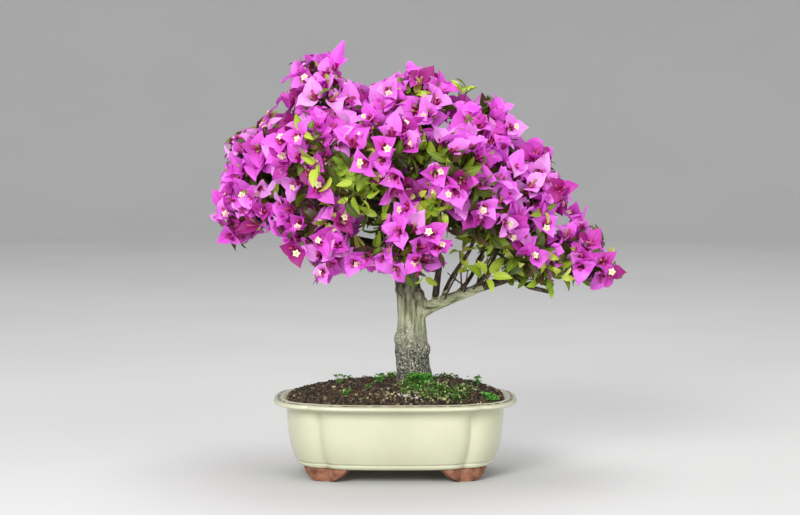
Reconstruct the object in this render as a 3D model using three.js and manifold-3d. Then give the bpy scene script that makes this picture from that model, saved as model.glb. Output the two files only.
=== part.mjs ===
// A bougainvillea bonsai in full bloom, growing in a lobed, cream-glazed pot on four bare clay feet.
// Millimetres, +Z up. The origin is on the surface that the pot stands on, under the middle of the plant.
// The front of the pot faces -Y.
import * as THREE from 'three';
import { mergeVertices } from 'three/addons/utils/BufferGeometryUtils.js';
import Module from 'manifold-3d';

const wasm = await Module();
wasm.setup();

const GAP = 0.3;            // between pieces that rest on each other
const CLEAR = 0.5;          // between foliage and what it must not touch
const UP = new THREE.Vector3(0, 0, 1);
const GOLDEN_ANGLE = Math.PI * (3 - Math.sqrt(5));

// Driving dimensions of the pot. An inset is measured in from the rim's outer edge.
const POT = {
  centre: [-25, 0],
  width: 268,
  depth: 196,
  height: 88,
  squareness: 3,            // exponent of the plan's superellipse
  footHeight: 15,
  lipHeight: 7,
  lipTop: 11,               // width of the lip's flat top
  lipEdge: 2,               // width of the rounding along the lip's edges
  lipSlope: 4,              // fall of the lip's inner edge
  wallInset: 14,            // of the wall's top, under the lip
  baseInset: 27,
  taper: 0.2,               // share of the wall's drawing in that is even from top to bottom
  tuck: 3.5,                // how suddenly the rest comes near the bottom
  bandHeight: 7,
  bandStep: 2,              // how far the band round the base stands out
  bandEdge: 1.5,
  wall: 7,
  floor: 7,
  creaseAt: 0.71,           // of the half width, where the lobes meet
  creaseDepth: 6,
  creaseWidth: 10,
  lipCrease: 0.5,           // share of the crease's depth along the lip
  cove: 6,                  // rounding between the inner wall and the floor
  longLobePoints: 12,
  shortLobePoints: 8,
  drainRadius: 8,
  drainSpacing: 100,
};
// Each foot sits under a crease, shifted a little towards the pot's end.
const FOOT = {
  span: 59,
  flat: 11,
  thickness: 15,
  narrowing: 0.8,           // of its inner face
  shift: 6,
  end: 1.5,                 // height that its ends run out to
  curve: 2,                 // power of the underside's rise from its flat to its ends
  inset: 28.5,
  lean: 0.12,               // how far the outer face leans in towards the ground
  stations: 10,
};
const SOIL = {
  height: 103,
  padRadius: 24,
  rings: 3,
  slack: 1,
  shore: 14.5,              // inset of its edge, which lies on the slope of the lip
  curve: 3.2,               // how quickly it rises from its edge
};

// The trunk from its flat cut on the soil to its fork: height above the soil, place of the axis, radius.
const TRUNK = {
  sides: 14,
  rings: 10,
  stations: [
    { up: 0, x: -4, y: 8, radius: 17.5 },
    { up: 36, x: -8, y: 6, radius: 17.6 },
    { up: 68, x: -8, y: 5, radius: 15 },
    { up: 109, x: -12, y: 5, radius: 13.3 },
    { up: 158, x: -19, y: 5, radius: 11.5 },
  ],
  flareRise: 10,
  flareOut: 3,
  fluting: 0.05,
};

// The masses of foliage. Each fills an ellipsoid, and its bough leaves a limb at a share of that limb.
const MASSES = [
  mass('peak_middle', 'trunk', 0.933, [-10, 4, 402], [57, 58, 56], { bough: 'leader' }),
  mass('lower_left', 'trunk', 0.846, [-178, -8, 292], [52, 58, 50], { bough: 'bough_left' }),
  mass('tip_right', 'trunk', 0.461, [188, 0, 241], [48, 46, 36], { bough: 'bough_right', leafy: 0.15 }),
  mass('back_upper', 'trunk', 0.923, [-58, 100, 368], [58, 60, 54], { bough: 'bough_back' }),
  mass('peak_left', 'leader', 0.3, [-101, -5, 421], [49, 55, 60], {}),
  mass('shoulder_right', 'leader', 0.4, [65, 0, 372], [52, 57, 53], {}),
  mass('upper_left', 'bough_left', 0.45, [-168, 0, 355], [50, 58, 51], {}),
  mass('front_upper_left', 'leader', 0.16, [-113, -85, 356], [52, 60, 50], {}),
  mass('front_upper', 'leader', 0.55, [-36, -102, 356], [52, 58, 50], { leafy: 0.4 }),
  mass('front_upper_right', 'leader', 0.24, [38, -95, 338], [52, 58, 48], { leafy: 0.2 }),
  mass('front_low_left', 'bough_left', 0.3, [-106, -65, 269], [54, 60, 58], {}),
  mass('front_low', 'trunk', 0.731, [-18, -95, 262], [55, 60, 50], { leafy: 0.15 }),
  mass('front_right', 'bough_right', 0.22, [73, -65, 289], [50, 55, 44], { leafy: 0.35 }),
  mass('right_side', 'bough_right', 0.42, [120, 0, 322], [56, 56, 52], {}),
  mass('low_right', 'bough_right', 0.62, [118, -35, 243], [42, 42, 36], { leafy: 0.8 }),
  mass('back_left', 'bough_left', 0.6, [-160, 85, 322], [55, 60, 56], {}),
  mass('back_right', 'bough_back', 0.35, [60, 95, 338], [58, 62, 54], {}),
  mass('back_low', 'bough_back', 0.2, [-54, 95, 272], [56, 62, 48], { leafy: 0.2 }),
  mass('back_low_right', 'bough_right', 0.28, [92, 75, 266], [54, 56, 46], { leafy: 0.2 }),
];

// A mass by name. leafy is the share of its sprays that are green leaves and not bracts.
function mass(name, from, share, centre, radii, { bough = `bough_${name}`, leafy = 0.08 }) {
  return { name, from, share, centre, radii, bough, leafy };
}

// Boughs taper from a share of the limb that they leave to a slim tip.
const BOUGH = {
  sides: 5,
  steps: 5,
  share: 0.72,
  least: 2.6,
  tip: 2.2,
  reach: 0.8,               // of the mass's radius, where the bough ends
  follow: 0.45,             // how far it first keeps to its limb's direction
  lift: 0,                  // how far it first turns upwards
  rise: 0.3,                // how far it turns upwards at its tip
};
const BOUGH_SHAPES = {
  leader: { radius: 9.5, tip: 4, sides: 8 },
  bough_left: { radius: 8.5, tip: 3.2, sides: 8, follow: 0.3 },
  bough_right: { radius: 7.8, tip: 2.8, sides: 8, follow: 0.08, rise: -0.12 },
  bough_back: { radius: 7, tip: 2.8, follow: 0.3 },
  bough_front_right: { radius: 3.2, lift: 2 },
};

const STEM = { sides: 4, shrink: 0.95, tip: 1.4, past: 0.25 };
// Twigs leave the stem further out the more they point outwards. Those that point down bear leaves.
const TWIG = { sides: 3, radius: 1.4, tip: 1.7, directions: 12, root: 0.55, rootSpread: 0.4, lowest: -0.5 };
// Blades, a little larger than life: neck is the thickness at the root, open the angle from the twig
const BRACT = { length: 34, width: 31, thick: 1.4, neck: 1.6, cup: 3.5, open: 1, widest: 0.45 };
const LEAF = { length: 29, width: 17, thick: 1.2, neck: 1.6, cup: 2.5, open: 1, widest: 0.4 };
// The turns of a spray about its twig, and the scales of a blade, that are tried
const SPRAY = { turns: [0, 0.5, 1, 1.5], scales: [1, 0.85, 0.7], inset: 0.01 };
const HIDDEN = 0.9;         // a spray that would end this deep in a neighbour is left out
const SEED = 101;

const MATERIALS = {
  glaze: new THREE.MeshStandardMaterial({ color: '#e4e4c6', roughness: 0.22, metalness: 0 }),
  clay: new THREE.MeshStandardMaterial({ color: '#a8725a', roughness: 0.85, metalness: 0 }),
  soil: new THREE.MeshStandardMaterial({ color: '#4a3a2c', roughness: 0.95, metalness: 0 }),
  bark: new THREE.MeshStandardMaterial({ color: '#8f907a', roughness: 0.9, metalness: 0 }),
  bloom: new THREE.MeshStandardMaterial({ color: '#cc3fc4', roughness: 0.6, metalness: 0 }),
  leaf: new THREE.MeshStandardMaterial({ color: '#97a14d', roughness: 0.55, metalness: 0 }),
};

// Seeded random numbers from 0 to 1
function seeded(seed) {
  let state = seed >>> 0;
  return () => {
    state = (state + 0x6d2b79f5) >>> 0;
    let mixed = Math.imul(state ^ (state >>> 15), state | 1);
    mixed ^= mixed + Math.imul(mixed ^ (mixed >>> 7), mixed | 61);
    return ((mixed ^ (mixed >>> 14)) >>> 0) / 4294967296;
  };
}

// A closed surface through rings of points, each joined to the next, with the first and last ring capped
function loft(rings) {
  const count = rings[0].length;
  const middle = (ring) => ring.reduce((sum, p) => sum.add(p), new THREE.Vector3()).divideScalar(count);
  const points = [...rings.flat(), middle(rings[0]), middle(rings[rings.length - 1])];
  const start = rings.length * count;
  const end = start + 1;
  const index = [];
  for (let j = 0; j < count; j++) {
    const k = (j + 1) % count;
    for (let i = 0; i + 1 < rings.length; i++) {
      const low = i * count;
      const high = low + count;
      index.push(low + j, low + k, high + k, low + j, high + k, high + j);
    }
    index.push(start, k, j, end, start - count + j, start - count + k);
  }
  return new THREE.BufferGeometry().setFromPoints(points).setIndex(index);
}

function solidOf(geometry) {
  const bare = geometry.clone();
  bare.deleteAttribute('normal');
  bare.deleteAttribute('uv');
  const merged = mergeVertices(bare, 1e-4);
  return new wasm.Manifold(new wasm.Mesh({
    numProp: 3,
    vertProperties: new Float32Array(merged.attributes.position.array),
    triVerts: new Uint32Array(merged.index.array),
  }));
}

function geometryOf(solid) {
  const { vertProperties, triVerts } = solid.getMesh();
  const geometry = new THREE.BufferGeometry();
  geometry.setAttribute('position', new THREE.BufferAttribute(vertProperties, 3));
  geometry.setIndex(new THREE.BufferAttribute(triVerts, 1));
  geometry.computeVertexNormals();
  return geometry;
}

// The largest body of a solid, without the scraps that a cut left loose and with any sealed hollow filled
function largestBody(solid) {
  return solid.decompose().reduce((best, body) => (body.volume() > best.volume() ? body : best));
}

function named(name, geometry, material) {
  const mesh = new THREE.Mesh(geometry, material.clone());
  mesh.name = name;
  return mesh;
}

// A direction's two sides, as unit vectors
function sidesOf(direction) {
  const helper = Math.abs(direction.z) < 0.9 ? UP : new THREE.Vector3(1, 0, 0);
  const across = new THREE.Vector3().crossVectors(helper, direction).normalize();
  return [across, new THREE.Vector3().crossVectors(direction, across)];
}

// A ring round a centre; radiusAt gives the radius at each angle
function ring(centre, normal, binormal, sides, radiusAt) {
  return Array.from({ length: sides }, (_, k) => {
    const angle = (2 * Math.PI * k) / sides;
    const radius = radiusAt(angle);
    return centre.clone()
      .addScaledVector(normal, radius * Math.cos(angle))
      .addScaledVector(binormal, radius * Math.sin(angle));
  });
}

// A straight tapering rod
function rod(from, to, sides, fromRadius, toRadius) {
  const [across, upright] = sidesOf(to.clone().sub(from).normalize());
  return loft([
    ring(from, across, upright, sides, () => fromRadius),
    ring(to, across, upright, sides, () => toRadius),
  ]);
}

// Plan of the pot

// A point of the plan's superellipse at an angle, pressed in at the four creases between the lobes
function planPoint(angle, inset, crease = 1) {
  const a = POT.width / 2 - inset;
  const b = POT.depth / 2 - inset;
  const power = 2 / POT.squareness;
  const bent = (value) => Math.sign(value) * Math.abs(value) ** power;
  const x = a * bent(Math.cos(angle));
  const y = b * bent(Math.sin(angle));
  const creaseX = a * POT.creaseAt;
  const creaseY = b * (1 - POT.creaseAt ** POT.squareness) ** (1 / POT.squareness);
  const away = Math.hypot(Math.abs(x) - creaseX, Math.abs(y) - creaseY);
  const press = crease * POT.creaseDepth * Math.exp(-((away / POT.creaseWidth) ** 2));
  const steep = POT.squareness - 1;
  const normal = new THREE.Vector2(
    (Math.sign(x) / a) * Math.abs(x / a) ** steep,
    (Math.sign(y) / b) * Math.abs(y / b) ** steep,
  ).normalize();
  return new THREE.Vector2(POT.centre[0] + x - press * normal.x, POT.centre[1] + y - press * normal.y);
}

const CREASE_ANGLE = Math.acos(POT.creaseAt ** (POT.squareness / 2));

// Angles round the plan, lobe by lobe, closer together towards the creases
function planAngles() {
  const corners = [-CREASE_ANGLE, CREASE_ANGLE, Math.PI - CREASE_ANGLE, Math.PI + CREASE_ANGLE];
  return corners.flatMap((from, lobe) => {
    const to = lobe < 3 ? corners[lobe + 1] : corners[0] + 2 * Math.PI;
    const count = lobe % 2 ? POT.longLobePoints : POT.shortLobePoints;
    return Array.from({ length: count }, (_, k) => {
      const u = k / count;
      return from + (to - from) * (u - 0.1 * Math.sin(2 * Math.PI * u));
    });
  });
}
const PLAN_ANGLES = planAngles();

function planRing({ z, inset, crease = 1 }) {
  return PLAN_ANGLES.map((angle) => {
    const p = planPoint(angle, inset, crease);
    return new THREE.Vector3(p.x, p.y, z);
  });
}

// The pot, its feet and its soil

const WALL_TOP = POT.height - POT.lipHeight;
const FLOOR_TOP = POT.footHeight + POT.floor;

// How far in the wall's outer face lies at a height: nearly upright above, drawn in below
function wallInset(z) {
  const down = (WALL_TOP - z) / (WALL_TOP - POT.footHeight);
  const drawn = POT.taper * down + (1 - POT.taper) * down ** POT.tuck;
  return THREE.MathUtils.lerp(POT.wallInset, POT.baseInset, drawn);
}

// The inner wall's rings at a clearance inside it, from the floor up to the lip
function innerRings(clearance) {
  const inset = (z) => wallInset(z) + POT.wall + clearance;
  const middle = (WALL_TOP + FLOOR_TOP) / 2;
  return [
    { z: FLOOR_TOP, inset: inset(FLOOR_TOP) + POT.cove },
    { z: FLOOR_TOP + POT.cove, inset: inset(FLOOR_TOP) },
    { z: middle, inset: inset(middle) },
    { z: POT.height - POT.lipSlope, inset: inset(WALL_TOP) },
  ];
}

function potSolid() {
  const bandTop = POT.footHeight + POT.bandHeight;
  const crease = POT.lipCrease;
  const outside = [
    { z: POT.footHeight, inset: POT.baseInset + POT.bandEdge },
    { z: POT.footHeight + POT.bandEdge, inset: POT.baseInset },
    { z: bandTop - POT.bandEdge, inset: POT.baseInset - POT.bandStep },
    { z: bandTop, inset: wallInset(bandTop) },
    ...[0.12, 0.3, 0.6, 1].map((share) => {
      const z = bandTop + (WALL_TOP - bandTop) * share;
      return { z, inset: wallInset(z) };
    }),
    { z: WALL_TOP + POT.lipEdge / 2, inset: POT.lipEdge, crease },
    { z: WALL_TOP + POT.lipEdge, inset: 0, crease },
    { z: POT.height - POT.lipEdge / 2, inset: 0, crease },
    { z: POT.height, inset: POT.lipEdge, crease },
    { z: POT.height, inset: POT.lipTop, crease },
  ];
  const inside = innerRings(0).reverse();
  const body = solidOf(loft([...outside, ...inside].map(planRing)));
  return [-1, 1].reduce((pot, side) => {
    const drain = new THREE.CylinderGeometry(POT.drainRadius, POT.drainRadius, 4 * POT.floor, 16);
    drain.rotateX(Math.PI / 2);
    drain.translate(POT.centre[0] + (side * POT.drainSpacing) / 2, POT.centre[1], POT.footHeight);
    return pot.subtract(solidOf(drain));
  }, body);
}

// A half-moon foot: a band along the base's plan, deep in its middle and running out at both ends
function footGeometry(sideX, sideY) {
  const corner = Math.atan2(sideY * Math.sin(CREASE_ANGLE), sideX * Math.cos(CREASE_ANGLE));
  const steps = Array.from({ length: 60 }, (_, k) => k / 60);
  // The point of an outline at a distance from the crease, to either hand of it
  const pointAt = (inset, distance) => {
    const hand = distance < 0 ? -1 : 1;
    const line = new THREE.SplineCurve(steps.map((step) => planPoint(corner + hand * step, inset)));
    return line.getPointAt(Math.abs(distance) / line.getLength());
  };
  const top = POT.footHeight - GAP;
  const rings = Array.from({ length: FOOT.stations + 1 }, (_, k) => {
    const along = FOOT.span * (k / FOOT.stations - 0.5);
    const past = Math.max(0, Math.abs(along) - FOOT.flat / 2) / (FOOT.span / 2 - FOOT.flat / 2);
    const bottom = (top - FOOT.end) * past ** FOOT.curve;
    const shift = -sideX * sideY * FOOT.shift;
    const out = pointAt(FOOT.inset, along + shift);
    const back = pointAt(FOOT.inset + FOOT.thickness, along * FOOT.narrowing + shift);
    const low = out.clone().lerp(back, FOOT.lean * (1 - past));
    return [
      new THREE.Vector3(low.x, low.y, bottom),
      new THREE.Vector3(back.x, back.y, bottom),
      new THREE.Vector3(back.x, back.y, top),
      new THREE.Vector3(out.x, out.y, top),
    ];
  });
  return loft(rings);
}

// The soil: it fills the pot and rises in a mound to a flat pad under the trunk
function soilGeometry() {
  const [trunkFoot] = TRUNK.stations;
  const below = innerRings(SOIL.slack);
  below[0].z += GAP;
  const last = below[below.length - 1];
  const slope = POT.lipSlope / (last.inset - SOIL.slack - POT.lipTop);
  last.inset += GAP - SOIL.slack;
  last.z += GAP;
  below.push({ z: POT.height - slope * (SOIL.shore - POT.lipTop) + 1.2 * GAP, inset: SOIL.shore });
  const walls = below.map(planRing);
  const shore = walls[walls.length - 1];
  const edge = shore[0].z;
  const top = SOIL.height - GAP;
  const mound = Array.from({ length: SOIL.rings }, (_, k) => {
    const share = (k + 1) / SOIL.rings;
    return shore.map((p) => {
      const angle = Math.atan2(p.y - trunkFoot.y, p.x - trunkFoot.x);
      const x = trunkFoot.x + SOIL.padRadius * Math.cos(angle);
      const y = trunkFoot.y + SOIL.padRadius * Math.sin(angle);
      const rise = 1 - (1 - share) ** SOIL.curve;
      return p.clone().lerp(new THREE.Vector3(x, y, edge), share).setZ(edge + (top - edge) * rise);
    });
  });
  return loft([...walls, ...mound]);
}

// Limbs: the trunk and the boughs. Each keeps its curve and the radius along it.

class Limb {
  constructor(name, curve, radiusAt, { sides, steps, shape = () => 1, level = false }) {
    Object.assign(this, { name, curve, radiusAt, sides, steps, shape, level });
  }

  geometry(margin = 0) {
    const frames = this.curve.computeFrenetFrames(this.steps);
    const rings = Array.from({ length: this.steps + 1 }, (_, k) => {
      const share = k / this.steps;
      const normal = frames.normals[k].clone();
      const binormal = frames.binormals[k].clone();
      if (this.level && k === 0) {
        normal.setZ(0).normalize();
        binormal.crossVectors(UP, normal);
      }
      const radiusAt = (angle) => this.radiusAt(share) * this.shape(angle, share) + margin;
      return ring(this.curve.getPointAt(share), normal, binormal, this.sides, radiusAt);
    });
    if (margin) {
      const past = frames.tangents[this.steps].clone().multiplyScalar(margin);
      rings[this.steps].forEach((p) => p.add(past));
    }
    return loft(rings);
  }
}

function trunkLimb() {
  const { stations } = TRUNK;
  const places = stations.map(({ up, x, y }) => new THREE.Vector3(x, y, SOIL.height + up));
  const curve = new THREE.CatmullRomCurve3(places);
  const total = stations[stations.length - 1].up;
  const radiusAt = (share) => {
    const up = share * total;
    const next = Math.max(1, stations.findIndex((s) => s.up >= up));
    const [a, b] = [stations[next - 1], stations[next]];
    const radius = THREE.MathUtils.lerp(a.radius, b.radius, (up - a.up) / (b.up - a.up));
    return radius + TRUNK.flareOut * Math.exp(-up / TRUNK.flareRise);
  };
  const shape = (angle, share) => {
    const waves = Math.cos(3 * angle + 4 * share) + 0.6 * Math.cos(5 * angle - 2);
    return 1 + TRUNK.fluting * waves;
  };
  return new Limb('trunk', curve, radiusAt, { sides: TRUNK.sides, steps: TRUNK.rings, shape, level: true });
}

function massCentre(mass) {
  return new THREE.Vector3(...mass.centre);
}

// A bough from a limb's axis to where it enters its mass
function boughLimb(mass, limbs) {
  const name = mass.bough;
  const shape = { ...BOUGH, ...BOUGH_SHAPES[name] };
  const parent = limbs.get(mass.from);
  const start = parent.curve.getPointAt(mass.share);
  const along = parent.curve.getTangentAt(mass.share);
  const centre = massCentre(mass);
  let reach = shape.reach;
  let tip = entryPoint(mass, start, centre, reach);
  while (reach > 0.1 && !inSpace(mass, tip, 2 * CLEAR)) {
    reach -= 0.05;
    tip = entryPoint(mass, start, centre, reach);
  }
  const toTip = tip.clone().sub(start);
  const length = toTip.length();
  toTip.normalize();
  const leave = toTip.clone().lerp(along, shape.follow).addScaledVector(UP, shape.lift).normalize();
  const enter = toTip.clone().addScaledVector(UP, shape.rise).normalize();
  const curve = new THREE.CubicBezierCurve3(
    start,
    start.clone().addScaledVector(leave, 0.4 * length),
    tip.clone().addScaledVector(enter, -0.35 * length),
    tip,
  );
  const thick = shape.radius ?? Math.max(shape.least, shape.share * parent.radiusAt(mass.share));
  const radiusAt = (share) => THREE.MathUtils.lerp(thick, Math.min(shape.tip, thick), share ** 0.8);
  return new Limb(name, curve, radiusAt, { sides: shape.sides, steps: shape.steps });
}

// The point on the way from start to a mass's centre that lies at a share of its ellipsoid
function entryPoint(mass, start, centre, reach) {
  const way = start.clone().sub(centre);
  const size = Math.hypot(...way.toArray().map((value, axis) => value / mass.radii[axis]));
  return centre.clone().addScaledVector(way, reach / Math.max(size, reach));
}

// The space of a mass: its ellipsoid, kept to its own side of a plane between it and each neighbour

function meanRadius(mass) {
  return (mass.radii[0] + mass.radii[1] + mass.radii[2]) / 3;
}

function inEllipsoid(mass, point, grown = 1) {
  const [x, y, z] = point.toArray().map((value, axis) => (value - mass.centre[axis]) / mass.radii[axis]);
  return x * x + y * y + z * z <= grown * grown;
}

function ownSide(mass, other, point) {
  const centre = massCentre(mass);
  const across = massCentre(other).sub(centre);
  const distance = across.length();
  const plane = (distance * meanRadius(mass)) / (meanRadius(mass) + meanRadius(other));
  return plane - point.clone().sub(centre).dot(across.normalize());
}

function inSpace(mass, point, clear = CLEAR) {
  const apart = (other) => other === mass || ownSide(mass, other, point) > clear;
  return inEllipsoid(mass, point) && MASSES.every(apart);
}

// Foliage

// A blade that grows out of one side of a twig's end. The side runs from a to b, from edge 0 up to edge 1.
function bladeFaces({ a0, b0, a1, b1 }, direction, full, scale) {
  const size = { ...full, length: full.length * scale, width: full.width * scale, cup: full.cup * scale };
  const base = a0.clone().add(b0).add(a1).add(b1).divideScalar(4);
  const side = b0.clone().sub(a0).normalize();
  const out = new THREE.Vector3().crossVectors(side, direction);
  const [ahead, aside] = [Math.cos(size.open), Math.sin(size.open)];
  const way = direction.clone().multiplyScalar(ahead).addScaledVector(out, aside);
  const face = direction.clone().multiplyScalar(aside).addScaledVector(out, -ahead);
  const waist = base.clone().addScaledVector(way, size.widest * size.length);
  const raised = waist.clone().addScaledVector(face, size.cup);
  const edge = (toB) => raised.clone().addScaledVector(side, (toB * size.width) / 2);
  const [left, right] = [edge(-1), edge(1)];
  const tip = base.clone().addScaledVector(way, size.length);
  const above = waist.clone().addScaledVector(face, size.thick / 2);
  const below = waist.clone().addScaledVector(face, -size.thick / 2);
  const fan = (middle, rim) => rim.slice(1).flatMap((point, k) => [middle, rim[k], point]);
  return {
    reach: [left, right, tip, above, below],
    faces: [
      ...fan(above, [b1, a1, left, tip, right, b1]),
      ...fan(below, [a0, b0, right, tip, left, a0]),
      a1, a0, left, b0, b1, right,
    ],
  };
}

function solidOfFaces(faces) {
  return solidOf(mergeVertices(new THREE.BufferGeometry().setFromPoints(faces), 1e-4));
}

function touches(solid, others) {
  return others.some((other) => !solid.intersect(other).isEmpty());
}

// A three-sided twig with a blade on each side of its end.
// A blade that leaves the mass's space or meets something is left out.
function spray(mass, root, end, size, turn, others) {
  const direction = end.clone().sub(root).normalize();
  const [across, upright] = sidesOf(direction);
  const normal = across.clone().multiplyScalar(Math.cos(turn)).addScaledVector(upright, Math.sin(turn));
  const binormal = new THREE.Vector3().crossVectors(direction, normal);
  const below = end.clone().addScaledVector(direction, -size.neck);
  const start = ring(root, normal, binormal, TWIG.sides, () => TWIG.radius);
  const low = ring(below, normal, binormal, TWIG.sides, () => TWIG.tip);
  const high = ring(end, normal, binormal, TWIG.sides, () => TWIG.tip);
  const faces = [start[0], start[2], start[1], high[0], high[1], high[2]];
  const blades = [];
  for (let k = 0; k < TWIG.sides; k++) {
    const next = (k + 1) % TWIG.sides;
    const corner = { a0: low[k], b0: low[next], a1: high[k], b1: high[next] };
    const { a0, b0, a1, b1 } = corner;
    faces.push(start[k], start[next], b0, start[k], b0, a0);
    const fitting = SPRAY.scales.find((scale) => {
      const blade = bladeFaces(corner, direction, size, scale);
      if (!blade.reach.every((p) => inSpace(mass, p))) return false;
      const solid = solidOfFaces([...blade.faces, a0, a1, b1, a0, b1, b0]);
      if (touches(solid, others)) return false;
      blades.push(solid);
      faces.push(...blade.faces);
      return true;
    });
    if (!fitting) faces.push(a0, b0, b1, a0, b1, a1);
  }
  return { solid: solidOfFaces(faces), blades };
}

// How far out a twig ends, as a share of the mass's radius, so that the tips of its spray just reach it
function sprayDepth(size, radius) {
  const side = size.length * Math.sin(size.open) + TWIG.tip / 2;
  const ahead = size.length * Math.cos(size.open);
  return (Math.sqrt(radius ** 2 - side ** 2) - ahead) / radius - SPRAY.inset;
}

// Evenly spread directions round a mass
function directionAt(k, count, turn) {
  const z = 1 - (2 * k + 1) / count;
  const around = GOLDEN_ANGLE * k + turn;
  const level = Math.sqrt(1 - z * z);
  return new THREE.Vector3(level * Math.cos(around), level * Math.sin(around), z);
}

// One mass: a stem on from its bough, twigs from the stem to the open sides, and a spray on each twig
function massSolid(mass, bough, limbsFat, seed) {
  const random = seeded(seed);
  const centre = massCentre(mass);
  const tip = bough.curve.getPointAt(1);
  const onward = bough.curve.getTangentAt(1);
  const from = tip.clone().addScaledVector(onward, GAP);
  const outward = centre.clone().sub(tip);
  const to = centre.clone().addScaledVector(outward, STEM.past);
  const [across, upright] = sidesOf(onward);
  const stemRadius = STEM.shrink * bough.radiusAt(1);
  const [endAcross, endUpright] = sidesOf(outward.clone().normalize());
  const stem = solidOf(loft([
    ring(from, across, upright, STEM.sides, () => stemRadius),
    ring(to, endAcross, endUpright, STEM.sides, () => STEM.tip),
  ]));
  const sprays = [];
  const turn = 2 * Math.PI * random();
  for (let k = 0; k < TWIG.directions; k++) {
    const direction = directionAt(k, TWIG.directions, turn);
    const leafy = random() < mass.leafy;
    const size = leafy || direction.z < TWIG.lowest ? LEAF : BRACT;
    const stretch = new THREE.Vector3(...mass.radii).multiply(direction);
    const skin = centre.clone().add(stretch);
    const hidden = MASSES.some((other) => other !== mass && inEllipsoid(other, skin, HIDDEN));
    if (hidden) continue;
    const end = centre.clone().addScaledVector(stretch, sprayDepth(size, stretch.length()));
    const root = from.clone().lerp(to, TWIG.root + TWIG.rootSpread * direction.dot(onward));
    const twig = solidOf(rod(root, end, TWIG.sides, TWIG.radius, TWIG.tip));
    const grownBlades = sprays.flatMap(({ blades }) => blades);
    if (!inSpace(mass, end) || touches(twig, [limbsFat, ...grownBlades])) continue;
    const others = [limbsFat, stem, ...sprays.map(({ solid }) => solid)];
    const tries = SPRAY.turns.map((extra) => spray(mass, root, end, size, turn + extra, others));
    const best = tries.reduce((most, some) => (some.blades.length > most.blades.length ? some : most));
    if (best.blades.length) sprays.push(best);
  }
  return largestBody(wasm.Manifold.union([stem, ...sprays.map(({ solid }) => solid)]));
}

// Assembly

function buildPot() {
  const group = new THREE.Group();
  group.add(named('pot', geometryOf(potSolid()), MATERIALS.glaze));
  for (const [front, sideY] of [['front', -1], ['back', 1]]) {
    for (const [side, sideX] of [['left', -1], ['right', 1]]) {
      group.add(named(`foot_${front}_${side}`, footGeometry(sideX, sideY), MATERIALS.clay));
    }
  }
  group.add(named('soil', soilGeometry(), MATERIALS.soil));
  return group;
}

function buildTree() {
  const group = new THREE.Group();
  const limbs = new Map([['trunk', trunkLimb()]]);
  for (const mass of MASSES) {
    const bough = boughLimb(mass, limbs);
    limbs.set(bough.name, bough);
    mass.limb = bough;
  }
  // Each bough is cut clear of the trunk and of the boughs made before it.
  const made = [];
  for (const limb of limbs.values()) {
    const whole = solidOf(limb.geometry());
    const solid = made.length ? largestBody(whole.subtract(wasm.Manifold.union(made))) : whole;
    made.push(solidOf(limb.geometry(GAP)));
    group.add(named(limb.name, geometryOf(solid), MATERIALS.bark));
  }
  const limbsFat = wasm.Manifold.union([...limbs.values()].map((limb) => solidOf(limb.geometry(CLEAR))));
  MASSES.forEach((mass, k) => {
    const solid = massSolid(mass, mass.limb, limbsFat, SEED + 7 * k);
    const material = mass.leafy > 0.5 ? MATERIALS.leaf : MATERIALS.bloom;
    group.add(named(`mass_${mass.name}`, geometryOf(solid), material));
  });
  return group;
}

const bonsai = new THREE.Group();
bonsai.add(buildPot(), buildTree());

export default bonsai;
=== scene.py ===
import math
import random

import bmesh
import bpy
import numpy as np
from mathutils import Matrix, Vector, noise


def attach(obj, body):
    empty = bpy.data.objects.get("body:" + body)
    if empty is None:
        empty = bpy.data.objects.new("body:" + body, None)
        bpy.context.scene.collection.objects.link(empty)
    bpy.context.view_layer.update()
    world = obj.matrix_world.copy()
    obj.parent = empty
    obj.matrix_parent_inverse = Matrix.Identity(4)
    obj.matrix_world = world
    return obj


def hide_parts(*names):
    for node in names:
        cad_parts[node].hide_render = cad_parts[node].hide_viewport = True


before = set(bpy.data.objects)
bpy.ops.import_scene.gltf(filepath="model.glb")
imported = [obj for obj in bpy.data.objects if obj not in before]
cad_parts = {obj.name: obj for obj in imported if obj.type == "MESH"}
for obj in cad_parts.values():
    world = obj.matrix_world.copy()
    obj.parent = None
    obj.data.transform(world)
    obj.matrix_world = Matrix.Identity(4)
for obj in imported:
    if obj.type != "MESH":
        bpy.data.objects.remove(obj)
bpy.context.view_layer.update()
mm = 0.001    # shapes are worked out in millimetres and scaled once, when a piece is added
up = np.array([0.0, 0.0, 1.0])
anyTurn = (0, 6.28)    # limits of a random angle
bpy.context.scene.view_settings.view_transform = "Standard"


# Small helpers
def unit(vector):
    return vector / np.linalg.norm(vector)


def mix(low, high, share):
    return low + (high - low) * share


def sidesOf(direction):
    helper = up if abs(direction[2]) < 0.9 else np.array([1.0, 0.0, 0.0])
    across = unit(np.cross(helper, direction))
    return across, np.cross(direction, across)


def addPiece(name, mesh, finishes, replaced=()):
    mesh.transform(Matrix.Scale(mm, 4))
    for finish in finishes:
        mesh.materials.append(finish)
    mesh.shade_smooth()
    piece = bpy.data.objects.new(name, mesh)
    bpy.context.scene.collection.objects.link(piece)
    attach(piece, "root")
    if replaced:
        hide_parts(*replaced)
    print(name, len(mesh.polygons), "faces")


def meshOf(bm, name):
    mesh = bpy.data.meshes.new(name)
    bm.to_mesh(mesh)
    bm.free()
    return mesh


# A skin through rings of points: a grid is laid over them and its seam is welded
def loftRings(bm, rings):
    around = len(rings[0])
    made = bmesh.ops.create_grid(bm, x_segments=around, y_segments=len(rings) - 1, size=1)
    for k, vert in enumerate(made["verts"]):
        vert.co = rings[k // (around + 1)][k % (around + 1) % around]
    bmesh.ops.remove_doubles(bm, verts=made["verts"], dist=1e-5)


def capHoles(bm):
    rims = [edge for edge in bm.edges if edge.is_boundary]
    bmesh.ops.holes_fill(bm, edges=rims, sides=0)


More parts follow.
